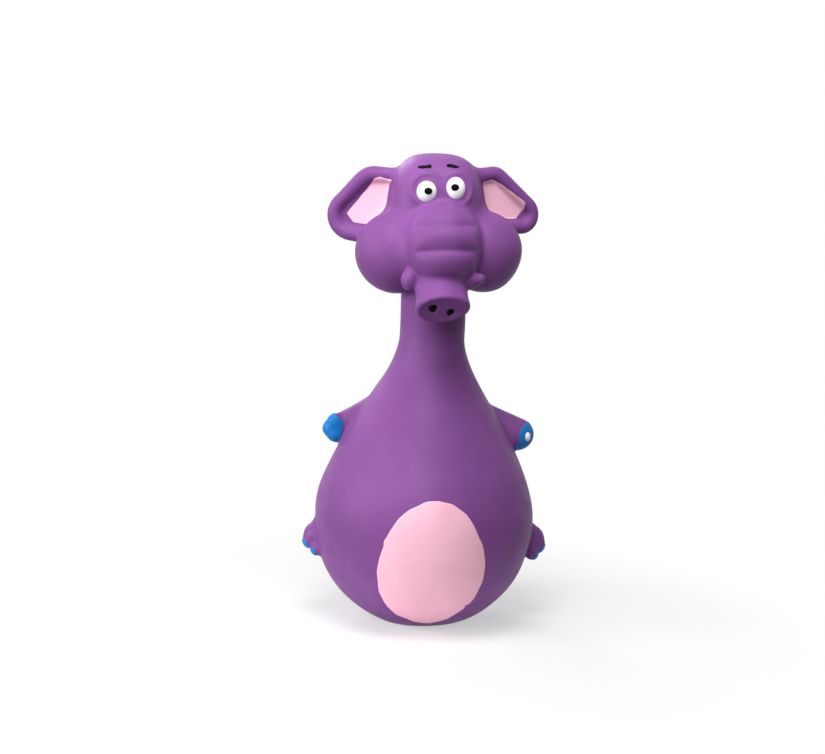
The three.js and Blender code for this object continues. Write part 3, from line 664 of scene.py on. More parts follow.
def settled(field, points, cell):
    """The points moved onto the surface, and the surface's normal at each."""
    least_steepness = 0.05
    longest_move = 0.6 * cell
    for turn in range(2):
        value, slope = slope_of(field, points)
        steepness = np.maximum((slope ** 2).sum(1), least_steepness)
        move = value[:, None] * slope / steepness[:, None]
        excess = np.maximum(np.linalg.norm(move, axis=1) / longest_move, 1)
        points = points - move / excess[:, None]
    return points, unit(slope_of(field, points)[1])


def hub_behind(loop):
    """The place nearest the middle of an edge loop that is deep enough in the toy to hide a fan."""
    middle = loop.mean(0)
    loop_radius = np.linalg.norm(loop - middle, axis=1).mean()
    depth = HUB_LEAST_DEPTH + HUB_DEPTH_SHARE * min(loop_radius, HUB_WIDEST_LOOP)
    level = np.linspace(-HUB_REACH, HUB_REACH, HUB_REACH_TRIES)
    rise = np.linspace(-HUB_RISE, HUB_RISE, HUB_RISE_TRIES)
    near = middle + np.stack(np.meshgrid(level, level, rise, indexing="ij"), 3).reshape(-1, 3)
    too_shallow = np.maximum(skin(*near.T) + depth, 0)
    return near[np.argmin(HUB_DEPTH_WEIGHT * too_shallow + np.linalg.norm(near - middle, axis=1))]


def edges_of(faces):
    """The edges of all faces, face by face, as rows of the two points that each runs between."""
    return np.stack([faces, np.roll(faces, -1, axis=1)], 2).reshape(-1, 2)


def closed(points, faces, normals):
    """The mesh with each open edge loop turned in and closed by a fan to a point behind it."""
    edges = edges_of(faces)
    out, out_count = np.unique(edges[:, 0] * len(points) + edges[:, 1], return_counts=True)
    back, back_count = np.unique(edges[:, 1] * len(points) + edges[:, 0], return_counts=True)
    spot = np.minimum(np.searchsorted(back, out), len(back) - 1)
    spare = out_count - np.where(back[spot] == out, back_count[spot], 0)
    follows = {}
    for edge in np.repeat(out, np.maximum(spare, 0)):
        follows.setdefault(int(edge % len(points)), []).append(int(edge // len(points)))
    walls = []
    fans = []
    extra = []
    extra_normals = []
    while follows:
        first = next(iter(follows))
        loop = [first]
        while True:
            here = loop[-1]
            onward = follows[here].pop()
            if not follows[here]:
                del follows[here]
            if onward == first:
                break
            loop.append(onward)
        start = len(points) + len(extra)
        hub = start + len(loop)
        extra += [*(points[loop] - SEAM_INSET * normals[loop]), hub_behind(points[loop])]
        extra_normals += [*normals[loop], (0.0, 0.0, 1.0)]
        ring = list(range(start, hub))
        for a, b, c, d in zip(loop, loop[1:] + loop[:1], ring, ring[1:] + ring[:1]):
            walls.append([a, b, d, c])
            fans.append([c, d, hub])
    if extra:
        points = np.concatenate([points, extra])
        normals = np.concatenate([normals, extra_normals])
    return points, faces.tolist() + walls + fans, normals


def tidied(owner, faces):
    """The owner of each face, where a stray face goes to the owner that most of its neighbours have."""
    own_votes = 1.5
    sides = faces.shape[1]
    names, label = np.unique(owner, return_inverse=True)
    edges = np.sort(edges_of(faces), axis=1)
    order = np.lexsort(edges.T)
    same = (edges[order[1:]] == edges[order[:-1]]).all(1)
    first = order[:-1][same] // sides
    second = order[1:][same] // sides
    for turn in range(3):
        votes = np.zeros((len(faces), len(names)))
        votes[np.arange(len(faces)), label] = own_votes
        np.add.at(votes, (first, label[second]), 1)
        np.add.at(votes, (second, label[first]), 1)
        label = votes.argmax(1)
    return names[label]


def placed(name, data):
    """A new object in the scene."""
    made = bpy.data.objects.new(name, data)
    bpy.context.scene.collection.objects.link(made)
    return made


def piece(name, points, faces, normals, material):
    """A closed mesh object from part of a cast surface."""
    used = np.unique(faces)
    number = np.full(len(points), -1)
    number[used] = np.arange(len(used))
    points, faces, normals = closed(points[used], number[faces], normals[used])
    mesh = bpy.data.meshes.new(name)
    mesh.from_pydata(points.tolist(), [], faces)
    mesh.polygons.foreach_set("use_smooth", np.ones(len(faces), dtype=bool))
    corners = np.array([spot for face in faces for spot in face])
    shading = normals[corners]
    fans = np.array([face for face in faces if len(face) == 3])
    if len(fans):
        flat = np.cross(points[fans[:, 1]] - points[fans[:, 0]], points[fans[:, 2]] - points[fans[:, 0]])
        shading[-3 * len(fans) :] = np.repeat(unit(flat), 3, axis=0)
    mesh.normals_split_custom_set(shading.tolist())
    mesh.materials.append(material)
    return placed(name, mesh)


def colour(red, green, blue):
    """A screen colour of 0 to 255 as the linear colour that a shader takes."""
    shares = [value / 255 for value in (red, green, blue)]
    linear = [s / 12.92 if s <= 0.04045 else ((s + 0.055) / 1.055) ** 2.4 for s in shares]
    return (*linear, 1.0)


def grey(level):
    """A linear level as a colour, or a number as a ramp takes it."""
    return (level, level, level, 1.0)


def ear_fold(sign):
    """Where the bend at the left ear's root, or at the right one's if the sign is -1, starts and ends."""
    return [(sign * spot[0], spot[1], spot[2]) for spot in (EAR_FOLD_START, EAR_FOLD_END)]


def new_material(name, roughness, specular):
    """A material with its tree, its shader and object coordinates."""
    material = bpy.data.materials.new(name)
    material.use_nodes = True
    tree = material.node_tree
    shader = tree.nodes["Principled BSDF"]
    shader.inputs["Roughness"].default_value = roughness
    shader.inputs["Specular IOR Level"].default_value = specular
    place = tree.nodes.new("ShaderNodeTexCoord")
    return material, tree, shader, place.outputs["Object"]


def noise(tree, place, scale, detail=3.0, roughness=0.5):
    """Soft clouds, which are finer the larger the scale."""
    node = tree.nodes.new("ShaderNodeTexNoise")
    node.inputs["Scale"].default_value = scale
    node.inputs["Detail"].default_value = detail
    node.inputs["Roughness"].default_value = roughness
    tree.links.new(place, node.inputs["Vector"])
    return node.outputs["Fac"]


def ramp(tree, value, stops):
    """A value turned into a colour by stops of (place, colour)."""
    node = tree.nodes.new("ShaderNodeValToRGB")
    node.color_ramp.elements[0].position = stops[0][0]
    node.color_ramp.elements[0].color = stops[0][1]
    node.color_ramp.elements[1].position = stops[-1][0]
    node.color_ramp.elements[1].color = stops[-1][1]
    for place, shade in stops[1:-1]:
        node.color_ramp.elements.new(place).color = shade
    tree.links.new(value, node.inputs["Fac"])
    return node.outputs["Color"]


def between(tree, value, dark, light):
    """A noise turned into a colour between two others."""
    return ramp(tree, value, ((0.3, dark), (0.7, light)))


def mixed(tree, share, first, second):
    """Two colours mixed by a share, where each of the three may be a socket or fixed."""
    node = tree.nodes.new("ShaderNodeMix")
    node.data_type = "RGBA"
    # A mix node has its colour sockets after those for numbers and vectors.
    for socket, value in ((node.inputs[0], share), (node.inputs[6], first), (node.inputs[7], second)):
        if isinstance(value, bpy.types.NodeSocket):
            tree.links.new(value, socket)
        else:
            socket.default_value = value
    return node.outputs[2]


def bumped(tree, shader, height, strength, distance):
    """Fine relief on a shader, from a height."""
    node = tree.nodes.new("ShaderNodeBump")
    node.inputs["Strength"].default_value = strength
    node.inputs["Distance"].default_value = distance
    tree.links.new(height, node.inputs["Height"])
    tree.links.new(node.outputs["Normal"], shader.inputs["Normal"])


latex, tree, shader, place = new_material("latex", roughness=0.5, specular=0.15)
purples = ((0.30, colour(115, 66, 128)), (0.52, colour(122, 71, 136)), (0.72, colour(129, 78, 144)))
purple = ramp(tree, noise(tree, place, scale=32, detail=4), purples)
specks = ramp(tree, noise(tree, place, scale=420, detail=2), ((0.66, grey(0)), (0.78, grey(1))))
faint_specks = mixed(tree, 0.25, grey(0), specks)
purple = mixed(tree, faint_specks, purple, colour(103, 57, 122))
tree.links.new(purple, shader.inputs["Base Color"])
satin = between(tree, noise(tree, place, scale=190), grey(0.44), grey(0.58))
tree.links.new(satin, shader.inputs["Roughness"])
grain = noise(tree, place, scale=900, detail=4, roughness=0.6)
bumped(tree, shader, grain, strength=0.10, distance=0.0004)

points, faces = cast(skin, SKIN_BOX, SKIN_CELL)
points, normals = settled(skin, points, SKIN_CELL)
middles = points[faces].mean(1)
names = np.array([name for name, form, fillet in SKIN_FORMS])
distances = np.stack([form(*middles.T) for name, form, fillet in SKIN_FORMS])
distances[names == "tusk"] -= TUSK_CLAIM
distances[names == "trunk"] += np.where(middles[:, 2] < TRUNK_SKIN_LOW, OUT_OF_REACH, 0)
owner = names[distances.argmin(0)]
owner = np.where((owner == "body_skin") & (middles[:, 2] > NECK_LOW), "neck_low", owner)
owner = np.where((owner == "neck_low") & (middles[:, 2] > NECK_MIDDLE), "neck_high", owner)
sided = np.isin(owner, ("arm", "leg", "tusk", "ear"))
side_name = np.where(middles[:, 0] > 0, "left_", "right_")
owner = tidied(np.where(sided, np.char.add(side_name, owner), owner), faces)
parts = {}
for name in np.unique(owner):
    skin_mesh = (points, faces[owner == name], normals)
    if name in HOLLOWS:
        room = hollow_field(name)
        room_points, room_faces = cast(room, SKIN_BOX, HOLLOW_CELL)
        room_points, room_normals = settled(room, room_points, HOLLOW_CELL)
        skin_mesh = (
            np.concatenate([points, room_points]),
            np.concatenate([skin_mesh[1], room_faces[:, ::-1] + len(points)]),
            np.concatenate([normals, -room_normals]),
        )
    parts[name] = piece("skin_" + name, *skin_mesh, latex)
    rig.slot(parts[name], "latex")
    if name not in ("neck_low", "neck_high"):
        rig.replaces(parts[name], name)
for name in ("body_skin", "left_arm", "right_arm"):
    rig.blend(parts[name], "base", "shoulders", start=(0, 0, SQUASH_LOW), end=(0, 0, SQUASH_HIGH))
for name in ("left_leg", "right_leg", "tail"):
    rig.ride(parts[name], "base")
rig.replaces(parts["neck_low"], "neck_skin")
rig.replaces(parts["neck_high"], "neck_skin")
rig.blend(parts["neck_low"], "shoulders", "neck", start=(0, 0, NECK_LOW), end=(0, 0, NECK_MIDDLE))
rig.blend(parts["neck_high"], "neck", "head", start=(0, 0, NECK_MIDDLE), end=(0, 0, NECK_HIGH))
for name in ("head_skin", "trunk", "trunk_tip", "left_tusk", "right_tusk"):
    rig.ride(parts[name], "head")
for name, sign in EAR_SIDES:
    fold_start, fold_end = ear_fold(sign)
    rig.blend(parts[name], "head", name, start=fold_start, end=fold_end)
for name in HOLLOWS:
    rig.padded(parts[name], fill=0.9)

# Stuffing: loose polyester fibre, pushed in through the base in four wads before the squeaker goes in. It
# presses lightly on the latex and is lumpy where the fibre has clumped.
WAD_INSET = 0.0009
WAD_LUMP = 0.0003
WAD_WAVES = ((510, 0, 370, 0), (0, 460, -410, 2), (540, -480, 0, 4))
WAD_EDGE = 0.002
SQUEAKER_ROOM_RADIUS = 0.0130
SQUEAKER_ROOM_HEIGHT = 0.0230
WADS = (
    ("body_skin", "body_fill", ("base", "shoulders", SQUASH_LOW, SQUASH_HIGH)),
    ("neck_low", "neck_fill", ("shoulders", "neck", NECK_LOW, NECK_MIDDLE)),
    ("neck_high", "neck_fill", ("neck", "head", NECK_MIDDLE, NECK_HIGH)),
    ("head_skin", "head_fill", None),
)


def wad_field(name):
    """The field of the wad in a hollow part of the skin, with room left for the squeaker."""
    room = hollow_field(name, WAD_INSET)

    def field(x, y, z):
        lumpy = room(x, y, z) + WAD_LUMP * waves(x, y, z, WAD_WAVES)
        squeaker = np.maximum(np.hypot(x, y) - SQUEAKER_ROOM_RADIUS, z - SQUEAKER_ROOM_HEIGHT)
        return shared(lumpy, -squeaker, WAD_EDGE)

    return field


def solid_piece(name, field, box, cell, material, slot):
    """A whole closed mesh cast from one field."""
    points, faces = cast(field, box, cell)
    points, normals = settled(field, points, cell)
    made = piece(name, points, faces, normals, material)
    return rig.slot(made, slot)


def stretched(tree, place, scale, rotation=(0, 0, 0)):
    """Coordinates turned and scaled, so that a noise draws out along one way."""
    node = tree.nodes.new("ShaderNodeMapping")
    node.inputs["Rotation"].default_value = rotation
    node.inputs["Scale"].default_value = scale
    tree.links.new(place, node.inputs["Vector"])
    return node.outputs["Vector"]


fibre, tree, shader, place = new_material("fibre", roughness=0.95, specular=0.1)
clumps = noise(tree, place, scale=90, detail=5, roughness=0.6)
fleece = between(tree, clumps, colour(214, 210, 202), colour(240, 238, 232))
tree.links.new(fleece, shader.inputs["Base Color"])
combed = stretched(tree, place, scale=(1, 1, 0.08), rotation=(0.6, 0.4, 0.9))
strands = noise(tree, combed, scale=1400, detail=4, roughness=0.7)
bumped(tree, shader, strands, strength=0.8, distance=0.0008)
shader.inputs["Sheen Weight"].default_value = 0.3
for name, node, bend in WADS:
    wad = solid_piece("wad_" + name, wad_field(name), SKIN_BOX, HOLLOW_CELL, fibre, "fibre")
    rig.replaces(wad, node)
    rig.padded(wad, fill=0.9)
    if bend:
        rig.blend(wad, bend[0], bend[1], start=(0, 0, bend[2]), end=(0, 0, bend[3]))
    else:
        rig.ride(wad, "head")

# Squeaker: a reed squeaker that snaps into the hole in the base. Its cup, vented cap, reed block and clamp
# are moulded in natural polyethylene, and the reed is a strip of rolled brass clamped at one end.
SQUEAKER_MOULDINGS = ("squeaker_cup", "squeaker_cap", "reed_block", "reed_clamp")

squeaker_plastic, tree, shader, place = new_material("squeaker_plastic", roughness=0.4, specular=0.45)
milky = between(tree, noise(tree, place, scale=160), colour(226, 221, 207), colour(236, 232, 221))
tree.links.new(milky, shader.inputs["Base Color"])
shader.inputs["Subsurface Weight"].default_value = 0.15
shader.inputs["Subsurface Radius"].default_value = (0.002, 0.0015, 0.001)
satin = between(tree, noise(tree, place, scale=800, detail=2), grey(0.34), grey(0.50))
tree.links.new(satin, shader.inputs["Roughness"])
bumped(tree, shader, noise(tree, place, scale=2200), strength=0.08, distance=0.0003)
for node in SQUEAKER_MOULDINGS:
    frame["nodes"][node].material_slots[0].material = squeaker_plastic

reed_brass, tree, shader, place = new_material("reed_brass", roughness=0.3, specular=0.5)
shader.inputs["Metallic"].default_value = 1
lines = noise(tree, stretched(tree, place, scale=(1, 1, 0.05)), scale=5000)
brassy = between(tree, lines, colour(205, 164, 92), colour(226, 190, 120))
tree.links.new(brassy, shader.inputs["Base Color"])
rolled_satin = between(tree, lines, grey(0.22), grey(0.42))
tree.links.new(rolled_satin, shader.inputs["Roughness"])
frame["nodes"]["reed"].material_slots[0].material = reed_brass

# Belly patch: a thick coat of pink paint, brushed on the front of the belly by hand. It is egg-shaped with a
# wavy edge that stands a little proud of the latex.
PAINT_CELL = 0.0008 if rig.quick() else 0.0004
PAINT_DEPTH = 0.0007
PAINT_EDGE = 0.0004
PATCH_BOX = ((-0.026, -0.0475, 0.0005), (0.026, -0.012, 0.0625))
PATCH_CENTRE = (-0.0004, 0.0324)
PATCH_HALF = (0.0209, 0.0254)
PATCH_LIFT = 0.0008
PATCH_LEAN = 0.0004
PATCH_TAPER = 0.11
PATCH_TILT = 0.14
PATCH_FRONT = -0.042
PATCH_BACK = -0.015
PATCH_WAVES = ((3, 0.4, 0.006), (5, 2.1, 0.008), (8, 0.7, 0.005), (13, 4.0, 0.004), (21, 1.2, 0.003))
PATCH_LUMP = (2.80, 0.05, 0.022)
PATCH_NICK = (-0.78, 0.03, -0.030)


def coat_field(region, lift, edge=PAINT_EDGE):
    """The field of a film of paint on the skin, inside a region."""
    middle = (lift - PAINT_DEPTH) / 2
    half = (lift + PAINT_DEPTH) / 2

    def field(x, y, z):
        return shared(np.abs(skin(x, y, z) - middle) - half, region(x, y, z), edge)

    return field


def patch_region(x, y, z):
    """An egg on the front of the belly, with waves, one lump and one nick in its edge."""
    up = (z - PATCH_CENTRE[1] + PATCH_TILT * (y - PATCH_FRONT)) / PATCH_HALF[1]
    across = (x - PATCH_CENTRE[0] - PATCH_LEAN * up) / PATCH_HALF[0] / (1 - PATCH_TAPER * up)
    angle = np.arctan2(up, across)
    edge = 1 + sum(height * np.sin(count * angle + start) for count, start, height in PATCH_WAVES)
    for middle, width, height in (PATCH_LUMP, PATCH_NICK):
        edge = edge + height * np.exp(-(((angle - middle) / width) ** 2))
    return np.maximum((np.hypot(across, up) - edge) * PATCH_HALF[0], y - PATCH_BACK)


def paint_material(name, dark, light, roughness, specular=0.15):
    """Brushed paint: two close shades, faint brush marks and a satin gloss."""
    material, tree, shader, place = new_material(name, roughness, specular)
    tint = between(tree, noise(tree, place, scale=70, detail=4), dark, light)
    tree.links.new(tint, shader.inputs["Base Color"])
    marks = noise(tree, stretched(tree, place, scale=(1, 1, 0.25)), scale=700)
    gloss = between(tree, marks, grey(roughness - 0.06), grey(roughness + 0.08))
    tree.links.new(gloss, shader.inputs["Roughness"])
    bumped(tree, shader, marks, strength=0.12, distance=0.0004)
    return material


pink_paint = paint_material("pink_paint", colour(243, 183, 204), colour(249, 194, 213), roughness=0.45)
patch_field = coat_field(patch_region, PATCH_LIFT)
patch = solid_piece("paint_belly_patch", patch_field, PATCH_BOX, PAINT_CELL, pink_paint, "pink_paint")
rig.replaces(patch, "belly_patch")
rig.blend(patch, "base", "shoulders", start=(0, 0, SQUASH_LOW), end=(0, 0, SQUASH_HIGH))

# Ear linings: the same pink paint brushed into the pocket of each ear, up to the head on one side and to the
# foot of the rolled rim on the other.
LEFT_LINING_CORNERS = (
    (0.0016, 0.1780),
    (0.0055, 0.1789),
    (0.0075, 0.1786),
    (0.0200, 0.1699),
    (0.0204, 0.1674),
    (0.0175, 0.1644),
    (0.0050, 0.1645),
)
RIGHT_LINING_CORNERS = (
    (-0.0010, 0.1786),
    (0.0063, 0.1803),
    (0.0083, 0.1797),
    (0.0202, 0.1663),
    (0.0178, 0.1634),
    (0.0129, 0.1627),
    (-0.0002, 0.1665),
)
LINING_ROUND = 0.0008
LINING_LIFT = 0.00022
LINING_CELL = 0.0008 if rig.quick() else 0.0003
LINING_BOX = ((0.014, -0.012, 0.150), (0.042, 0.022, 0.188))
LINING_WAVES = ((0.0001, 300, 420, 0), (0.00006, 1100, -500, 0))
LINING_BACK = 0.0008
LINING_REACH = 0.0006


def mirrored(box, sign):
    """A box on the toy's left side, or the same box on its right side if the sign is -1."""
    (near, *low), (far, *high) = box
    near, far = sorted((sign * near, sign * far))
    return (near, *low), (far, *high)


def brushed(across, up, rows):
    """How far a brushed edge wanders, from rows of a wave's height, its run across and up, and its start."""
    return sum(height * np.sin(a * across + b * up + start) for height, a, b, start in rows)


def lining_region(x, y, z):
    """The pockets of both ears, on the front only."""
    beyond_ear = ear_form(x, y, z) - LINING_REACH
    x, y, z = on_head(x, y, z)
    along, ahead = on_ear(x, y)
    left = rounded_outline(along, z, LEFT_LINING_CORNERS, LINING_ROUND)
    right = rounded_outline(along, z, RIGHT_LINING_CORNERS, LINING_ROUND)
    outline = np.where(x > 0, left, right) + brushed(along, z, LINING_WAVES)
    return np.maximum(np.maximum(outline, -ahead - LINING_BACK), beyond_ear)


for name, sign in EAR_SIDES:
    lining = solid_piece(
        "paint_" + name + "_lining",
        coat_field(lining_region, LINING_LIFT),
        mirrored(LINING_BOX, sign),
        LINING_CELL,
        pink_paint,
        "pink_paint",
    )
    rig.replaces(lining, name + "_lining")
    fold_start, fold_end = ear_fold(sign)
    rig.blend(lining, "head", name, start=fold_start, end=fold_end)

# Paw and toe coats: the ends of the arms and legs are dipped and dabbed with blue paint, with an uneven edge.
# One nail on the toy's left paw is a thick drop of white.
PAW_LIFT = 0.00022
PAW_BOX = ((0.032, -0.010, 0.066), (0.048, 0.010, 0.088))
PAW_WAVES = ((0.0006, 260, 600, 0), (0.0002, 1300, -400, 1))
PAW_REACH = 0.0008
LEFT_PAW_EDGE = 0.0370
LEFT_PAW_BEND = 125
LEFT_PAW_BEND_LOW = 0.0760
RIGHT_PAW_EDGE = 0.0341
RIGHT_PAW_BEND = 82
RIGHT_PAW_MIDDLE = 0.0770
TOE_BOX = ((0.038, -0.011, 0.022), (0.053, 0.011, 0.040))
TOE_DAB_SHIFT = (0.0020, -0.0004, -0.0012)
TOE_DAB_SHARE = 0.85


def paw_region(x, y, z):
    """The ends of both arms, up to an edge that bends with height."""
    left_edge = LEFT_PAW_EDGE + LEFT_PAW_BEND * np.maximum(z - LEFT_PAW_BEND_LOW, 0) ** 2
    right_edge = RIGHT_PAW_EDGE + RIGHT_PAW_BEND * (z - RIGHT_PAW_MIDDLE) ** 2
    edge = np.where(x > 0, left_edge, right_edge) - np.abs(x) + brushed(y, z, PAW_WAVES)
    return np.maximum(edge, arm_form(x, y, z) - PAW_REACH)


def toe_region(x, y, z):
    """A round dab on the end of each toe."""
    side = np.abs(x) - np.where(x > 0, LEFT_LEG_REACH, 0)
    dabs = []
    for centre, radius in TOES:
        dab_centre = [middle + shift for middle, shift in zip(centre, TOE_DAB_SHIFT)]
        dabs.append(ball(side, y, z, dab_centre, TOE_DAB_SHARE * radius))
    return np.minimum.reduce(dabs)


blue_paint = paint_material("blue_paint", colour(20, 110, 182), colour(32, 124, 196), roughness=0.45)
for name, sign in (("left", 1), ("right", -1)):
    paw = solid_piece(
        "paint_" + name + "_paw",
        coat_field(paw_region, PAW_LIFT),
        mirrored(PAW_BOX, sign),
        PAINT_CELL,
        blue_paint,
        "blue_paint",
    )
    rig.replaces(paw, name + "_paw_coat")
    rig.ride(paw, "shoulders")
    toe = solid_piece(
        "paint_" + name + "_toes",
        coat_field(toe_region, PAW_LIFT),
        mirrored(TOE_BOX, sign),
        PAINT_CELL,
        blue_paint,
        "blue_paint",
    )
    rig.replaces(toe, name + "_toe_coat")
    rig.ride(toe, "base")

NAIL_CENTRE = (0.0411, 0.0001, 0.0766)
NAIL_HALF = (0.0015, 0.0014, 0.0019)
NAIL_EDGE = 0.0002
DROP_CELL = 0.00025
DROP_MARGIN = 0.001


def drop_field(centre, half, base, depth, edge):
    """The field of an oval drop of paint that stands on a base form and reaches a little way into it."""

    def field(x, y, z):
        return shared(oval(x, y, z, centre, half), -base(x, y, z) - depth, edge)

    return field


def box_round(centre, half, margin):
    """The box round a form of a given half size, with a margin."""
    low = [centre[i] - half[i] - margin for i in range(3)]
    high = [centre[i] + half[i] + margin for i in range(3)]
    return low, high


white_paint = paint_material("white_paint", colour(236, 234, 236), colour(250, 249, 250), roughness=0.30)
nail = solid_piece(
    "paint_nail",
    drop_field(NAIL_CENTRE, NAIL_HALF, skin, PAINT_DEPTH, NAIL_EDGE),
    box_round(NAIL_CENTRE, NAIL_HALF, DROP_MARGIN),
    DROP_CELL,
    white_paint,
    "white_paint",
)
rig.replaces(nail, "nail_coat")
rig.ride(nail, "shoulders")

# Eyes: two raised domes of glossy white paint, each with a thick black dot for a pupil. They are hand
# painted, so the two differ a little.
EYES = (
    ("left", 0.0054, 0.1768, (0.0039, 0.0026, 0.0046), (-0.0005, 0.0006)),
    ("right", -0.0059, 0.1757, (0.0040, 0.0026, 0.0043), (0.0003, 0.0004)),
)
EYE_SINK = 0.0007
EYE_EDGE = 0.0003
EYE_MARGIN = 0.002
PUPIL_HALF = (0.0016, 0.0006, 0.0014)
PUPIL_SINK = 0.0002
PUPIL_DEPTH = 0.0003
PUPIL_EDGE = 0.0002
PUPIL_CELL = 0.0002
FACE_REACH = 0.045
FACE_TRIES = 1801


def surface_at(x, z):
    """The place on the front of the head at a sideways place and height in the head's own frame."""
    height = z - HEAD_MIDDLE
    world_x = x * math.cos(HEAD_ROLL) - height * math.sin(HEAD_ROLL)
    world_z = height * math.cos(HEAD_ROLL) + x * math.sin(HEAD_ROLL) + HEAD_MIDDLE
    reach = np.linspace(-FACE_REACH, 0.0, FACE_TRIES)
    inside = skin(np.full_like(reach, world_x), reach, np.full_like(reach, world_z)) < 0
    return world_x, float(reach[np.argmax(inside)]), world_z


black_paint = paint_material("black_paint", colour(4, 3, 4), colour(9, 8, 9), roughness=0.5, specular=0.05)
for name, spread, height, half, look in EYES:
    front = surface_at(spread, height)
    centre = (front[0], front[1] + EYE_SINK, front[2])
    eye_field = drop_field(centre, half, skin, PAINT_DEPTH, EYE_EDGE)
    eye_box = box_round(centre, half, EYE_MARGIN)
    eye = solid_piece("paint_" + name + "_eye", eye_field, eye_box, DROP_CELL, white_paint, "white_paint")
    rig.replaces(eye, name + "_eye_white")
    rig.ride(eye, "head")
    pupil_centre = (centre[0] + look[0], centre[1] - half[1] + PUPIL_SINK, centre[2] + look[1])
    pupil = solid_piece(
        "paint_" + name + "_pupil",
        drop_field(pupil_centre, PUPIL_HALF, eye_field, PUPIL_DEPTH, PUPIL_EDGE),
        box_round(pupil_centre, PUPIL_HALF, DROP_MARGIN),
        PUPIL_CELL,
        black_paint,
        "black_paint",
    )
    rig.replaces(pupil, name + "_pupil")
    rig.ride(pupil, "head")

# Brows and nostrils: single touches of thick black paint, two strokes on the forehead and a dab in each
# nostril of the trunk's tip.
BROWS = (
    ("left", (0.0029, 0.1858), (0.0069, 0.1852)),
    ("right", (-0.0045, 0.1855), (-0.0087, 0.1852)),
)
BROW_WIDTH = 0.00072
BROW_TAPER = 0.6
BROW_LIFT = 0.0003
BROW_WAVES = ((0.00008, 1500, 900, 0),)
BROW_BOX = ((-0.0045, -0.004, -0.003), (0.0045, 0.005, 0.003))
NOSTRIL_LIFT = 0.00012
NOSTRIL_WAVES = ((0.0001, 1700, 1300, 0),)
NOSTRIL_BACK = 0.004
NOSTRIL_BOX_HALF = (0.0042, 0.0042, 0.0042)
TOUCH_EDGE = 0.0003


def brow_region(start, end):
    """One stroke of the brush between two places on the forehead, thinner at its end."""

    def region(x, y, z):
        x, y, z = on_head(x, y, z)
        near = (start[0], 0, start[1])
        far = (end[0], 0, end[1])
        stroke = taper(x, 0, z, near, far, BROW_WIDTH, BROW_WIDTH * BROW_TAPER)
        return np.maximum(stroke + brushed(x, z, BROW_WAVES), y)

    return region


def nostril_region(spread, rise, width):
    """One dab on the face of the trunk's tip."""

    def region(x, y, z):
        across, up, out = on_tip(*on_head(x, y, z))
        dab = np.hypot(across - spread, (up - rise) / NOSTRIL_STRETCH) - width
        return np.maximum(dab + brushed(across, up, NOSTRIL_WAVES), -out - NOSTRIL_BACK)

    return region


for name, start, end in BROWS:
    middle = surface_at((start[0] + end[0]) / 2, (start[1] + end[1]) / 2)
    brow = solid_piece(
        "paint_" + name + "_brow",
        coat_field(brow_region(start, end), BROW_LIFT, TOUCH_EDGE),
        [[middle[i] + corner[i] for i in range(3)] for corner in BROW_BOX],
        DROP_CELL,
        black_paint,
        "black_paint",
    )
    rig.replaces(brow, name + "_brow")
    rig.ride(brow, "head")
for name, spread, rise, width in NOSTRILS:
    middle = [TIP_CENTRE[i] + rise * TIP_UP[i] for i in range(3)]
    middle[0] += spread - (middle[2] - HEAD_MIDDLE) * HEAD_ROLL
    nostril = solid_piece(
        "paint_" + name + "_nostril",
        coat_field(nostril_region(spread, rise, width), NOSTRIL_LIFT, TOUCH_EDGE),
        box_round(middle, NOSTRIL_BOX_HALF, 0),
        DROP_CELL,
        black_paint,
        "black_paint",
    )
    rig.replaces(nostril, name + "_nostril_coat")
    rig.ride(nostril, "head")

# Camera, light and floor: a white studio sweep under plain soft lamps, a large one on the toy's right, one
# in front, one behind and a small one over the head. The floor fades out, so that only the shadow shows.
CAMERA_TARGET = (0, 0, 0.095)
CAMERA_DISTANCE = 0.75
CAMERA_AZIMUTH = math.radians(-6)
CAMERA_ELEVATION = math.radians(8)
CAMERA_ROLL = math.radians(2.6)
CAMERA_SENSOR = 36
CAMERA_LENS = 80.6
CAMERA_NEAREST = 0.05
CAMERA_FARTHEST = 20
CAMERA_AIM_LEFT = 0.0069
CAMERA_AIM_UP = 0.0050


def direction(azimuth, elevation):
    """The way from the toy to a camera or lamp, where both angles are 0 straight in front of it."""
    flat = math.cos(elevation)
    return Vector((math.sin(azimuth) * flat, -math.cos(azimuth) * flat, math.sin(elevation)))


camera_data = bpy.data.cameras.new("camera")
camera_data.sensor_width = CAMERA_SENSOR
camera_data.lens = CAMERA_LENS
camera_data.clip_start = CAMERA_NEAREST
camera_data.clip_end = CAMERA_FARTHEST
camera = placed("camera", camera_data)
outward = direction(CAMERA_AZIMUTH, CAMERA_ELEVATION)
rightward = Vector((math.cos(CAMERA_AZIMUTH), math.sin(CAMERA_AZIMUTH), 0))
upward = outward.cross(rightward)
turn = Matrix.Rotation(CAMERA_ROLL, 3, outward)
frame_right = turn @ rightward
frame_up = turn @ upward
centre = Vector(CAMERA_TARGET) - frame_right * CAMERA_AIM_LEFT + frame_up * CAMERA_AIM_UP
rotation = Matrix((frame_right, frame_up, outward)).transposed().to_4x4()
camera.matrix_world = Matrix.Translation(centre + outward * CAMERA_DISTANCE) @ rotation
bpy.context.scene.camera = camera

FLOOR_SIZE = 1.2
FLOOR_LEVEL = 0.88
FLOOR_GLOW = 0.5
FLOOR_FADE_SCALE = (6, 6, 6)
FLOOR_FADE_END = 0.6


def white_seen(tree):
    """1 for a ray from the camera, a reflection or clear plastic, which see the studio as white, else 0."""
    path = tree.nodes.new("ShaderNodeLightPath")
    total = path.outputs["Is Camera Ray"]
    for name in ("Is Glossy Ray", "Is Transmission Ray"):
        higher = tree.nodes.new("ShaderNodeMath")
        higher.operation = "MAXIMUM"
        tree.links.new(total, higher.inputs[0])
        tree.links.new(path.outputs[name], higher.inputs[1])
        total = higher.outputs["Value"]
    return total


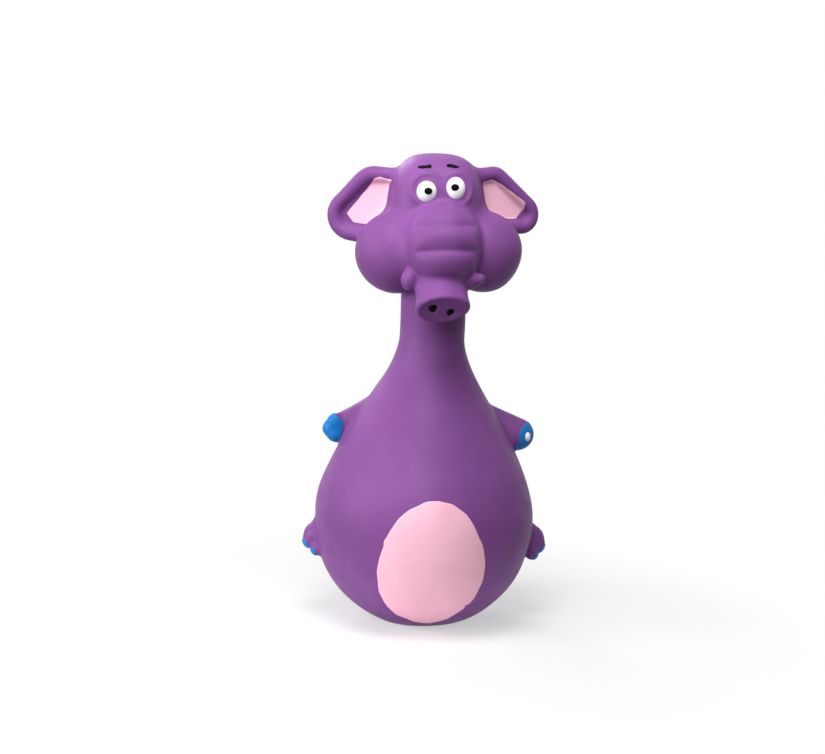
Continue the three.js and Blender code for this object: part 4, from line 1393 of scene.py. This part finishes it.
def mixed_shaders(tree, share, first, second):
    """Two shaders mixed, where a share of 1 gives the second alone."""
    node = tree.nodes.new("ShaderNodeMixShader")
    for value, socket in zip((share, first, second), node.inputs):
        tree.links.new(value, socket)
    return node.outputs["Shader"]


floor_mesh = bpy.data.meshes.new("floor")
corner = FLOOR_SIZE / 2
floor_mesh.from_pydata(
    [(-corner, -corner, 0), (corner, -corner, 0), (corner, corner, 0), (-corner, corner, 0)],
    [],
    [(0, 1, 2, 3)],
)
floor = placed("floor", floor_mesh)
floor_paint, tree, shader, place = new_material("floor_paint", roughness=0.9, specular=0.1)
shader.inputs["Base Color"].default_value = grey(FLOOR_LEVEL)
spread = tree.nodes.new("ShaderNodeTexGradient")
spread.gradient_type = "SPHERICAL"
tree.links.new(stretched(tree, place, FLOOR_FADE_SCALE), spread.inputs["Vector"])
fade = ramp(tree, spread.outputs["Fac"], ((0.0, grey(0)), (FLOOR_FADE_END, grey(1))))
tree.links.new(fade, shader.inputs["Alpha"])
glow = tree.nodes.new("ShaderNodeEmission")
clear = tree.nodes.new("ShaderNodeBsdfTransparent")
faded_glow = mixed_shaders(tree, fade, clear.outputs["BSDF"], glow.outputs["Emission"])
lit = tree.nodes.new("ShaderNodeMath")
lit.operation = "MULTIPLY"
lit.inputs[1].default_value = FLOOR_GLOW
tree.links.new(white_seen(tree), lit.inputs[0])
surface = mixed_shaders(tree, lit.outputs["Value"], shader.outputs["BSDF"], faded_glow)
tree.links.new(surface, tree.nodes["Material Output"].inputs["Surface"])
floor_mesh.materials.append(floor_paint)
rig.stage(floor)

LAMPS = (
    ("side_lamp", (0, 0, 0.1), -75, 12, 1.0, 0.5, 7.3),
    ("front_lamp", (0, 0, 0.1), -20, 25, 1.0, 0.5, 3.4),
    ("back_lamp", (0, 0, 0.1), -155, 30, 1.0, 0.5, 3.5),
    ("top_lamp", (0, 0, 0.165), -15, 60, 0.35, 0.25, 1.5),
)
WORLD_LEVEL = 0.14

for name, target, azimuth, elevation, distance, size, power in LAMPS:
    data = bpy.data.lights.new(name, "AREA")
    data.shape = "DISK"
    data.size = size
    data.energy = power
    lamp = placed(name, data)
    towards = direction(math.radians(azimuth), math.radians(elevation))
    lamp.location = Vector(target) + towards * distance
    lamp.rotation_euler = (-towards).to_track_quat("-Z", "Y").to_euler()

world = bpy.data.worlds.new("studio")
bpy.context.scene.world = world
world.use_nodes = True
tree = world.node_tree
background = tree.nodes["Background"]
background.inputs["Color"].default_value = grey(WORLD_LEVEL)
background.inputs["Strength"].default_value = 1
white = tree.nodes.new("ShaderNodeBackground")
white.inputs["Color"].default_value = grey(1)
choice = mixed_shaders(tree, white_seen(tree), background.outputs["Background"], white.outputs["Background"])
tree.links.new(choice, tree.nodes["World Output"].inputs["Surface"])
bpy.context.scene.view_settings.view_transform = "Standard"

visual_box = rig.bounds()
with open("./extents.json", "w") as sheet:
    boxes = {"cad": cad_box, "visual": visual_box}
    json.dump({name: [list(corner) for corner in box] for name, box in boxes.items()}, sheet)
